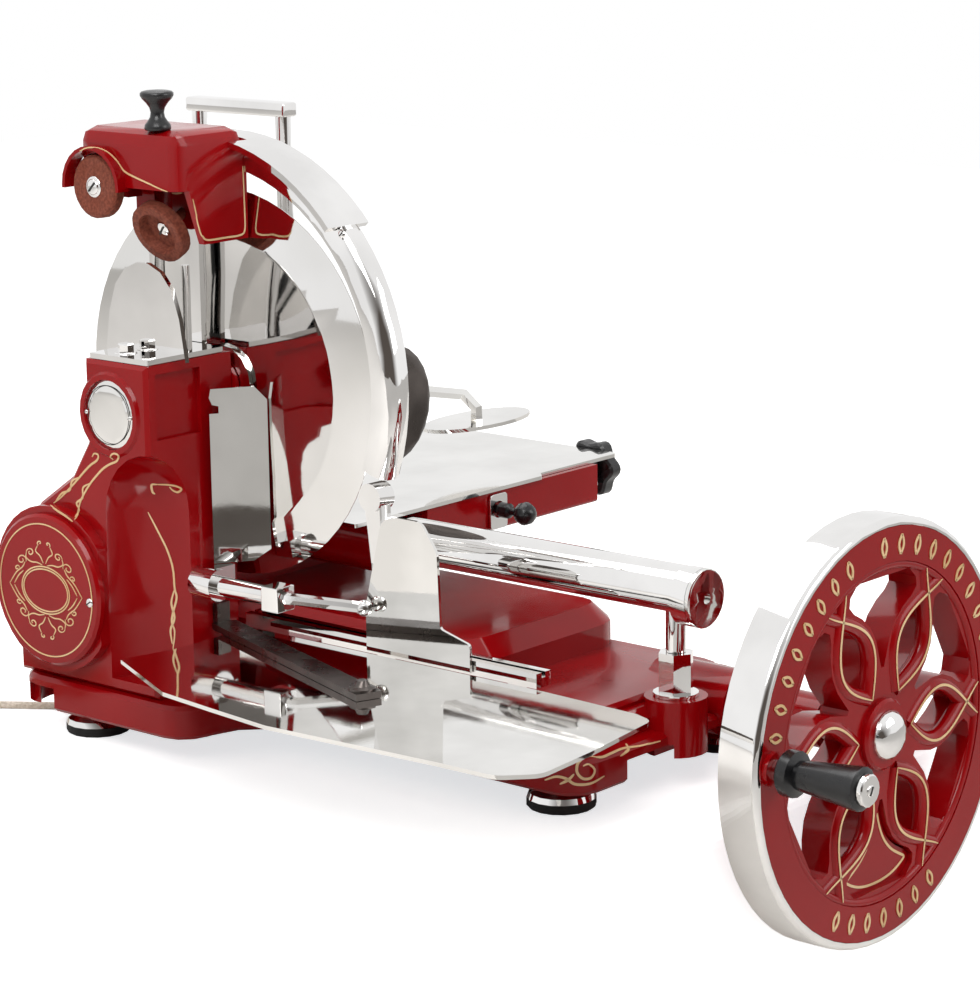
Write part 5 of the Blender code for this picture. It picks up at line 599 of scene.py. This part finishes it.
def wheel_start(out, angle_deg, across=0.0):
    bearing = math.radians(angle_deg)
    x = WHEEL_X + out * math.cos(bearing) - across * math.sin(bearing)
    z = WHEEL_HEIGHT + out * math.sin(bearing) + across * math.cos(bearing)
    return at(x, BEFORE_WHEEL, z)


def on_web(spot, level):
    """The point straight behind spot that lies level behind the web's front."""
    return Vector((spot.x, SHIFT.y + WEB_FRONT + level, spot.z))


PETAL_TUBE = 0.0060
PETAL_SINK = 0.0032
PETAL_MIDDLE = 0.0205
BEAD_RING = 0.1240
BEAD_TUBE = 0.0036
BEAD_STEPS = 96
PETAL_END_SHARE = 1.2
petal_lines = []
for petal in range(PETAL_COUNT):
    petal_turn = 360.0 / PETAL_COUNT * petal
    for side in (1, -1):
        middle_line = []
        crest = []
        for step in range(PETAL_STEPS + 1):
            along = PETAL_END_SHARE * step / PETAL_STEPS
            out = PETAL_INNER + PETAL_START + (PETAL_OUTER - PETAL_INNER - PETAL_END) * along
            across = side * PETAL_MIDDLE * math.sin(math.pi * along)
            spot = wheel_start(out, petal_turn, across)
            middle_line.append(on_web(spot, PETAL_SINK))
            crest.append((on_web(spot, PETAL_SINK - PETAL_TUBE), FRONTWARD))
        round_curve("wheel_petal_%d%s" % (petal + 1, "a" if side > 0 else "b"), middle_line, PETAL_TUBE,
                    "flywheel", "red_enamel", resolution=5)
        petal_lines.append((crest, False, tapered(len(crest))))
ribbons("wheel_petal_lines", petal_lines, "flywheel", WHEEL_LINE)
bead_ring = [
    on_web(wheel_start(BEAD_RING, 360.0 * step / BEAD_STEPS), BEAD_TUBE / 4) for step in range(BEAD_STEPS)
]
round_curve("wheel_inner_bead", bead_ring, BEAD_TUBE, "flywheel", "red_enamel", closed=True)

WINDOW_OUTER = 0.1235
FAN_LEVEL = 0.0045
FAN_THICKNESS = 0.009
FAN_SMOOTHING = 4
FAN_SHARES = (
    (0.42, 0.05), (0.48, 0.12), (0.57, 0.20), (0.67, 0.33), (0.76, 0.50), (0.83, 0.66), (0.89, 0.74),
    (0.94, 0.69), (0.975, 0.50), (0.985, 0.25), (0.985, 0.0),
)
FAN_LINE_SHARES = (
    (0.50, 0.04), (0.57, 0.11), (0.67, 0.23), (0.76, 0.39), (0.83, 0.55), (0.885, 0.66), (0.90, 0.60),
    (0.915, 0.40), (0.92, 0.20), (0.92, 0.0),
)


def fan_outline(shares, level):
    points = [(out * WINDOW_OUTER, wide * 180.0 / PETAL_COUNT) for out, wide in shares]
    half = smooth(points, FAN_SMOOTHING)
    loop = half + [(radius, -angle) for radius, angle in half[-2::-1]]
    return [on_web(wheel_start(radius, 270.0 + angle), level) for radius, angle in loop]


fan_shape = bmesh.new()
fan_front = [fan_shape.verts.new(p) for p in fan_outline(FAN_SHARES, FAN_LEVEL)]
fan_back = [fan_shape.verts.new(p) for p in fan_outline(FAN_SHARES, FAN_LEVEL + FAN_THICKNESS)]
fan_shape.faces.new(fan_front)
fan_shape.faces.new(fan_back[::-1])
for i in range(len(fan_front)):
    j = (i + 1) % len(fan_front)
    fan_shape.faces.new((fan_front[j], fan_front[i], fan_back[i], fan_back[j]))
bmesh.ops.recalc_face_normals(fan_shape, faces=fan_shape.faces)
placed(object_of("wheel_fan", fan_shape), "flywheel", "red_enamel")
fan_line = [(p, FRONTWARD) for p in fan_outline(FAN_LINE_SHARES, FAN_LEVEL)]
ribbons("wheel_fan_line", [(fan_line, True, even(len(fan_line)))], "flywheel", WHEEL_LINE)

LEAF_SPANS = ((20.0, 92.0, 9), (110.0, 168.0, 8), (244.0, 296.0, 7))
LEAF_RADIUS = 0.1385
LEAF_LENGTH = 0.0140
LEAF_WIDTH = 0.0060
LEAF_POINTS = 7
LEAF_THICKNESS = 0.0007
leaf_lines = []
for first, last, count in LEAF_SPANS:
    for i in range(count):
        angle = first + (last - first) * i / (count - 1)
        for lean in (-1, 1):
            starts = []
            for step in range(LEAF_POINTS):
                share = step / (LEAF_POINTS - 1)
                out = LEAF_RADIUS - LEAF_LENGTH / 2 + LEAF_LENGTH * share
                across = lean * LEAF_WIDTH / 2 * math.sin(math.pi * share)
                starts.append(wheel_start(out, angle, across))
            spots = laid_on(("flywheel_web",), starts, TO_WHEEL)
            if len(spots) == LEAF_POINTS:
                leaf_lines.append((spots, False, even(LEAF_POINTS)))
ribbons("wheel_leaf_ornaments", leaf_lines, "flywheel", WHEEL_LINE, thickness=LEAF_THICKNESS)

cap_low, cap_high = (Vector(c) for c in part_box("handle_cap"))
cap_middle = (cap_low + cap_high) / 2
cap_face = Vector((cap_middle.x, cap_low.y - LINE_LIFT, cap_middle.z))
bead("handle_screw", cap_face, FRONTWARD, 0.0042, 0.0008, "flywheel", 1.1)

# Round cover: a circle and a plain symmetric scroll
COVER_Y = 0.088
COVER_HEIGHT = 0.120
BEFORE_COVER = -0.20
TO_COVER = Vector((1.0, 0.0, 0.0))
CURL_CLOSING = 0.75


def cover_spots(points):
    starts = [at(BEFORE_COVER, COVER_Y + u, COVER_HEIGHT + v) for u, v in points]
    return laid_on(("round_cover",), starts, TO_COVER)


def curl(centre, start_radius, start_deg, sweep_deg, count=16):
    points = []
    for i in range(count):
        share = i / (count - 1)
        radius = start_radius * (1 - CURL_CLOSING * share)
        angle = math.radians(start_deg + sweep_deg * share)
        points.append((centre[0] + radius * math.cos(angle), centre[1] + radius * math.sin(angle)))
    return points


COVER_OVALS = ((0.0520, 0.0520, 96), (0.0270, 0.0185, 48), (0.0250, 0.0165, 48))
SCROLL_WIDEN = 1.35
SCROLL_REACH = 0.0305
SCROLL_RAISE = 0.0055
cover_lines = []
for a, b, count in COVER_OVALS:
    spots = cover_spots(ellipse(a, b, count))
    cover_lines.append((spots, True, even(len(spots))))
QUARTER = (
    smooth([(0.0305, 0.0), (0.0245, 0.0085), (0.0190, 0.0128), (0.0165, 0.0170)], 5),
    smooth([(0.0265, 0.0), (0.0225, 0.0062), (0.0182, 0.0100)], 5),
    curl((0.0195, 0.0185), 0.0042, 200.0, -430.0),
    smooth([(0.0020, 0.0145), (0.0065, 0.0165), (0.0115, 0.0172), (0.0155, 0.0205), (0.0150, 0.0245)], 5),
    curl((0.0118, 0.0245), 0.0034, 0.0, 420.0),
    smooth([(0.0010, 0.0160), (0.0035, 0.0215), (0.0070, 0.0255), (0.0052, 0.0300)], 5),
    curl((0.0036, 0.0318), 0.0020, 300.0, 330.0, 12),
    curl((0.0235, 0.0120), 0.0022, 180.0, -360.0, 12),
)
for quarter in QUARTER:
    for flip_u in (1, -1):
        for flip_v in (1, -1):
            spread = [
                (u * SCROLL_WIDEN, v + SCROLL_RAISE * max(0.0, 1.0 - u / SCROLL_REACH)) for u, v in quarter
            ]
            spots = cover_spots([(u * flip_u, v * flip_v) for u, v in spread])
            cover_lines.append((spots, False, tapered(len(spots))))
ribbons("cover_scroll_lines", cover_lines, "machine", 0.0010)
for place, normal in seen_on(("round_cover",), [(90, 603)]):
    bead("cover_screw", place, normal, 0.0036, 0.0018, "machine", 0.6)

# Column, sharpener and base: lines where the photograph has them
pixel_lines("column_scroll_lines", ("column_casting", "round_cover"), "machine", 0.0017, (
    (((92.5, 457.0), (94.5, 453.5), (98.5, 455.0), (97.5, 460.0), (91.5, 464.5), (86.0, 470.0), (80.0, 477.0),
      (73.5, 484.5), (67.0, 491.5), (60.5, 498.0), (54.0, 503.0)), False),
    (((80.0, 477.0), (72.5, 481.0), (70.0, 490.0), (62.5, 493.0), (56.0, 501.0)), False),
    (((113.5, 459.5), (110.5, 456.5), (114.0, 453.5), (118.5, 455.5), (117.0, 461.0), (109.5, 464.5),
      (103.0, 469.0), (97.0, 475.5), (91.0, 483.0), (86.0, 491.0), (81.5, 499.5), (79.0, 508.0),
      (77.5, 515.0), (74.5, 520.0)), False),
    (((91.0, 483.0), (83.5, 487.5), (83.0, 497.5), (77.0, 503.0), (79.5, 510.0), (75.0, 517.0)), False),
    (((50.4, 505.5), (58.2, 511.0), (66.0, 516.0), (72.9, 521.5)), False),
    (((157.5, 484.2), (151.7, 484.7), (152.6, 491.7), (155.1, 493.9)), False),
    (((157.5, 484.2), (169.6, 484.7), (178.0, 486.6), (181.7, 489.0), (178.0, 491.9), (173.2, 490.2),
      (169.6, 486.6)), False),
    (((148.0, 512.0), (157.5, 530.2), (167.2, 549.6), (173.2, 569.0), (174.9, 588.4), (176.9, 598.0),
      (173.2, 612.6), (172.0, 622.3), (174.9, 632.0), (173.2, 649.0)), False),
    (((174.9, 588.4), (171.5, 603.0), (174.9, 617.5), (170.8, 629.6), (172.5, 644.0)), False),
))
pixel_lines("sharpener_lines", ("sharpener_housing",), "sharpener", 0.0014, (
    (((80.0, 151.0), (88.0, 147.6), (99.0, 148.5), (109.0, 153.5), (117.5, 162.0), (125.0, 171.5),
      (136.0, 177.5), (150.0, 184.0), (163.0, 190.0), (174.0, 193.2), (183.0, 193.0)), False),
    (((192.5, 199.0), (195.5, 212.0), (199.0, 227.0), (202.5, 236.5), (208.0, 240.0), (225.0, 237.6),
      (240.0, 235.0), (244.5, 230.0), (244.5, 214.0), (243.5, 190.0), (242.5, 166.0)), False),
))
pixel_lines("base_scroll_lines", ("base_casting",), "machine", 0.0020, (
    (((583.0, 766.0), (589.0, 764.5), (594.5, 770.0), (591.0, 777.5), (583.0, 778.5), (577.0, 772.0),
      (578.5, 762.5), (588.0, 757.0), (601.0, 757.5), (611.0, 753.5), (623.0, 748.5), (640.0, 746.0),
      (660.0, 741.0)), False),
    (((545.0, 780.0), (556.0, 776.5), (566.0, 778.5), (575.0, 784.0), (590.0, 783.5), (604.0, 776.0)), False),
    (((560.0, 784.0), (568.0, 780.0), (574.0, 774.0)), False),
    (((620.0, 756.0), (628.0, 750.0), (626.0, 744.0)), False),
))

# Badge: a bright disc with an engraved ring, drawn as a band of painted shade, and two screws
badge_low, badge_high = (Vector(c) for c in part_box("badge_disc"))
badge_middle = (badge_low + badge_high) / 2
LEFTWARD = Vector((-1.0, 0.0, 0.0))
BADGE_RING = 0.0225
BADGE_SCREW_OUT = 0.0236
BADGE_STEPS = 60
ring_points = []
for y, z in ellipse(BADGE_RING, BADGE_RING, BADGE_STEPS):
    ring_points.append((Vector((badge_low.x, badge_middle.y + y, badge_middle.z + z)), LEFTWARD))
ring_widths = even(len(ring_points))
# Painted shade: the engraved ring is a near-black band standing for the shade in its groove
ribbons("badge_ring", [(ring_points, True, ring_widths)], "machine", 0.0007, GROOVE_SHADE, "dark_steel", 0.0001)
for side, out in (("near", -BADGE_SCREW_OUT), ("far", BADGE_SCREW_OUT)):
    bead("badge_screw_" + side, Vector((badge_low.x, badge_middle.y + out, badge_middle.z)), LEFTWARD,
         0.0017, 0.0010, "machine", 0.3)

# Guard's screw and the stones' slots
for place, normal in seen_on(("blade_guard_ring",), [(342, 234)]):
    bead("guard_screw", place, normal, 0.0030, 0.0014, "machine", 0.9)

RAY_RUN = 0.1
STONE_SIDES = 28
STONE_MIDDLE = at(-0.0705, 0.0570, 0.4290)
STONE_WAY = Vector((1.0, 0.0, 0.0))
for hit, _ in laid_on(("grinding_stone",), [STONE_MIDDLE - STONE_WAY * RAY_RUN], STONE_WAY):
    bead("grinding_stone_washer", hit, -STONE_WAY, 0.0082, 0.0012, "grinding_wheel")
    bead("grinding_stone_screw", hit - STONE_WAY * 0.0008, -STONE_WAY, 0.0060, 0.0016, "grinding_wheel",
         0.8, STONE_SIDES)
TRUER_TILT = math.radians(26.0)
TRUER_MIDDLE = at(-0.050, 0.0110, 0.3975)
TRUER_REACH = 0.012
for sign in (1, -1):
    truer_way = Vector((math.cos(TRUER_TILT), 0.0, sign * math.sin(TRUER_TILT)))
    hits = laid_on(("truing_stone",), [TRUER_MIDDLE - truer_way * RAY_RUN], truer_way)
    if hits and (hits[0][0] - TRUER_MIDDLE).length < TRUER_REACH:
        bead("truing_stone_screw", hits[0][0], -truer_way, 0.0062, 0.0022, "truing_wheel", 0.8, STONE_SIDES)
        break

# Sharpener's pull knob, turned, and the nut on the bracket's foot
KNOB_FOOT = at(-0.062, 0.000, 0.4737)
KNOB_SIDES = 40
WASHER_SIDES = 28
KNOB_PROFILE = (
    (0.0094, 0.0000), (0.0100, 0.0012), (0.0096, 0.0040), (0.0075, 0.0065), (0.0056, 0.0095),
    (0.0050, 0.0130), (0.0058, 0.0165), (0.0082, 0.0200), (0.0112, 0.0232), (0.0125, 0.0255),
    (0.0125, 0.0272), (0.0114, 0.0284), (0.0090, 0.0290), (0.0001, 0.0290),
)
turned("pull_knob", KNOB_FOOT, Matrix.Identity(3), KNOB_PROFILE, KNOB_SIDES, "sharpener", "black_plastic",
       replaced=("sharpener_knob",))
for place, normal in seen_on(("sharpener_bracket",), [(126, 353)]):
    bead("bracket_washer", place, normal, 0.0085, 0.0012, "machine", None, WASHER_SIDES)
    hexagon("bracket_nut", place + normal * 0.001, normal, 0.0062, 0.0065, "machine")

# Release lever's plate on the front of the carriage's box
PLATE_NEAR = -0.1004
PLATE_HALF = 0.0100
PLATE_LOW = 0.1375
PLATE_HIGH = 0.1655
PLATE_HOLE = 0.0072
PLATE_HOLE_STEPS = 32
PLATE_CORNER = 0.003
PLATE_THICKNESS = 0.0016
PLATE_EDGE = 0.0003
LEVER_X = 0.2015
LEVER_HEIGHT = 0.1530


def plate_outline(half, low, high, corner, steps=5):
    points = []
    for cx, cz, first in ((half - corner, high - corner, 0), (-half + corner, high - corner, 90),
                          (-half + corner, low + corner, 180), (half - corner, low + corner, 270)):
        for i in range(steps + 1):
            angle = math.radians(first + 90 * i / steps)
            points.append((cx + corner * math.cos(angle), cz + corner * math.sin(angle)))
    return points


sheet = bpy.data.curves.new("lever_plate", "CURVE")
sheet.dimensions = "2D"
sheet.fill_mode = "BOTH"
sheet.extrude = PLATE_THICKNESS / 2
sheet.bevel_depth = PLATE_EDGE
outline = plate_outline(PLATE_HALF, PLATE_LOW - LEVER_HEIGHT, PLATE_HIGH - LEVER_HEIGHT, PLATE_CORNER)
for loop in (outline, ellipse(PLATE_HOLE, PLATE_HOLE, PLATE_HOLE_STEPS)):
    line = sheet.splines.new("POLY")
    line.points.add(len(loop) - 1)
    for i, (x, y) in enumerate(loop):
        line.points[i].co = (x, y, 0.0, 1.0)
    line.use_cyclic_u = True
lever_plate = bpy.data.objects.new("lever_plate", sheet)
SCENE.collection.objects.link(lever_plate)
lever_plate.matrix_world = Matrix.Translation(at(LEVER_X, PLATE_NEAR, LEVER_HEIGHT)) @ Matrix.Rotation(
    math.radians(90.0), 4, "X")
placed(lever_plate, "carriage", "chrome")

# Floor, counter and light
COUNTER_FRONT = -0.45
COUNTER_LEFT = -3.0
COUNTER_RIGHT = 1.6
COUNTER_FAR = 4.0
FLOOR_DROP = 0.75
FLOOR_HALF = 9.0
FLOOR_THICKNESS = 0.1
STAGE_ROUNDING = 0.012


def background_share(tree, mirror_share):
    """One for the camera's rays, mirror_share for mirrors and glass, and zero for the light on the object."""
    path = tree.nodes.new("ShaderNodeLightPath")
    either = tree.nodes.new("ShaderNodeMath")
    either.operation = "MAXIMUM"
    tree.links.new(path.outputs["Is Glossy Ray"], either.inputs[0])
    tree.links.new(path.outputs["Is Transmission Ray"], either.inputs[1])
    mirrors = tree.nodes.new("ShaderNodeMath")
    mirrors.operation = "MULTIPLY"
    mirrors.inputs[1].default_value = mirror_share
    tree.links.new(either.outputs["Value"], mirrors.inputs[0])
    most = tree.nodes.new("ShaderNodeMath")
    most.operation = "MAXIMUM"
    tree.links.new(path.outputs["Is Camera Ray"], most.inputs[0])
    tree.links.new(mirrors.outputs["Value"], most.inputs[1])
    return most, path


def stage_material(name, colour, glow):
    made, tree, shader = node_material(name, colour, 0.85)
    vary_colour(tree, shader, noise(tree, 1.2), tuple(c * 0.985 for c in colour), colour)
    shader.inputs["Specular IOR Level"].default_value = 0.1
    shader.inputs["Emission Color"].default_value = (0.95, 0.975, 1.0, 1.0)
    lit = tree.nodes.new("ShaderNodeMath")
    lit.operation = "MULTIPLY"
    lit.inputs[1].default_value = glow
    share, _ = background_share(tree, 0.05)
    tree.links.new(share.outputs["Value"], lit.inputs[0])
    tree.links.new(lit.outputs["Value"], shader.inputs["Emission Strength"])
    return made


def stage_block(name, low, high, look):
    shape = bmesh.new()
    bmesh.ops.create_cube(shape, size=1.0)
    place = Matrix.Translation((low + high) / 2) @ Matrix.Diagonal((*(high - low), 1.0))
    bmesh.ops.transform(shape, matrix=place, verts=shape.verts)
    bmesh.ops.bevel(shape, geom=list(shape.edges), offset=STAGE_ROUNDING, segments=4, profile=0.5,
                    affect="EDGES")
    made = object_of(name, shape)
    made.data.materials.append(look)
    SCENE.collection.objects.link(made)


PALE = stage_material("pale_stage", (0.86, 0.835, 0.80), 0.72)
stage_block("counter", at(COUNTER_LEFT, COUNTER_FRONT, -FLOOR_DROP),
            at(COUNTER_RIGHT, COUNTER_FAR, 0.0), PALE)
stage_block("floor", at(-FLOOR_HALF, -FLOOR_HALF, -FLOOR_DROP - FLOOR_THICKNESS),
            at(FLOOR_HALF, FLOOR_HALF, -FLOOR_DROP), PALE)

world = bpy.data.worlds.new("studio")
world.use_nodes = True
SCENE.world = world
sky = world.node_tree
back = sky.nodes["Background"]
where = sky.nodes.new("ShaderNodeTexCoord")
toward = sky.nodes.new("ShaderNodeVectorMath")
toward.operation = "DOT_PRODUCT"
toward.inputs[1].default_value = (-0.62, -0.72, -0.30)
sky.links.new(where.outputs["Generated"], toward.inputs[0])
ramp = sky.nodes.new("ShaderNodeValToRGB")
sky.links.new(toward.outputs["Value"], ramp.inputs["Fac"])
ramp.color_ramp.elements[0].position = 0.42
ramp.color_ramp.elements[0].color = (1.0, 1.0, 1.0, 1.0)
ramp.color_ramp.elements[1].position = 0.80
ramp.color_ramp.elements[1].color = (0.10, 0.085, 0.075, 1.0)
shown, path = background_share(sky, 0.9)
plain = sky.nodes.new("ShaderNodeMix")
plain.data_type = "RGBA"
plain.inputs[7].default_value = (1.0, 1.0, 1.0, 1.0)
sky.links.new(path.outputs["Is Camera Ray"], plain.inputs[0])
sky.links.new(ramp.outputs["Color"], plain.inputs[6])
sky.links.new(plain.outputs[2], back.inputs["Color"])
strength = sky.nodes.new("ShaderNodeMapRange")
strength.inputs["To Min"].default_value = 0.58
strength.inputs["To Max"].default_value = 1.0
sky.links.new(shown.outputs["Value"], strength.inputs["Value"])
sky.links.new(strength.outputs["Result"], back.inputs["Strength"])


def soft_light(name, place, target, size, power):
    data = bpy.data.lights.new(name, "AREA")
    data.shape = "RECTANGLE"
    data.size, data.size_y = size
    data.energy = power
    lamp = bpy.data.objects.new(name, data)
    SCENE.collection.objects.link(lamp)
    lamp.location = place
    lamp.rotation_euler = (target - place).to_track_quat("-Z", "Y").to_euler()


AIM = at(0.0, -0.1, 0.2)
soft_light("key", at(-1.7, -1.0, 1.9), AIM, (1.5, 1.1), 32.0)
soft_light("fill", at(0.9, -2.2, 1.2), AIM, (1.2, 1.2), 13.0)
soft_light("top", at(0.2, 0.6, 2.2), AIM, (1.8, 1.2), 18.0)
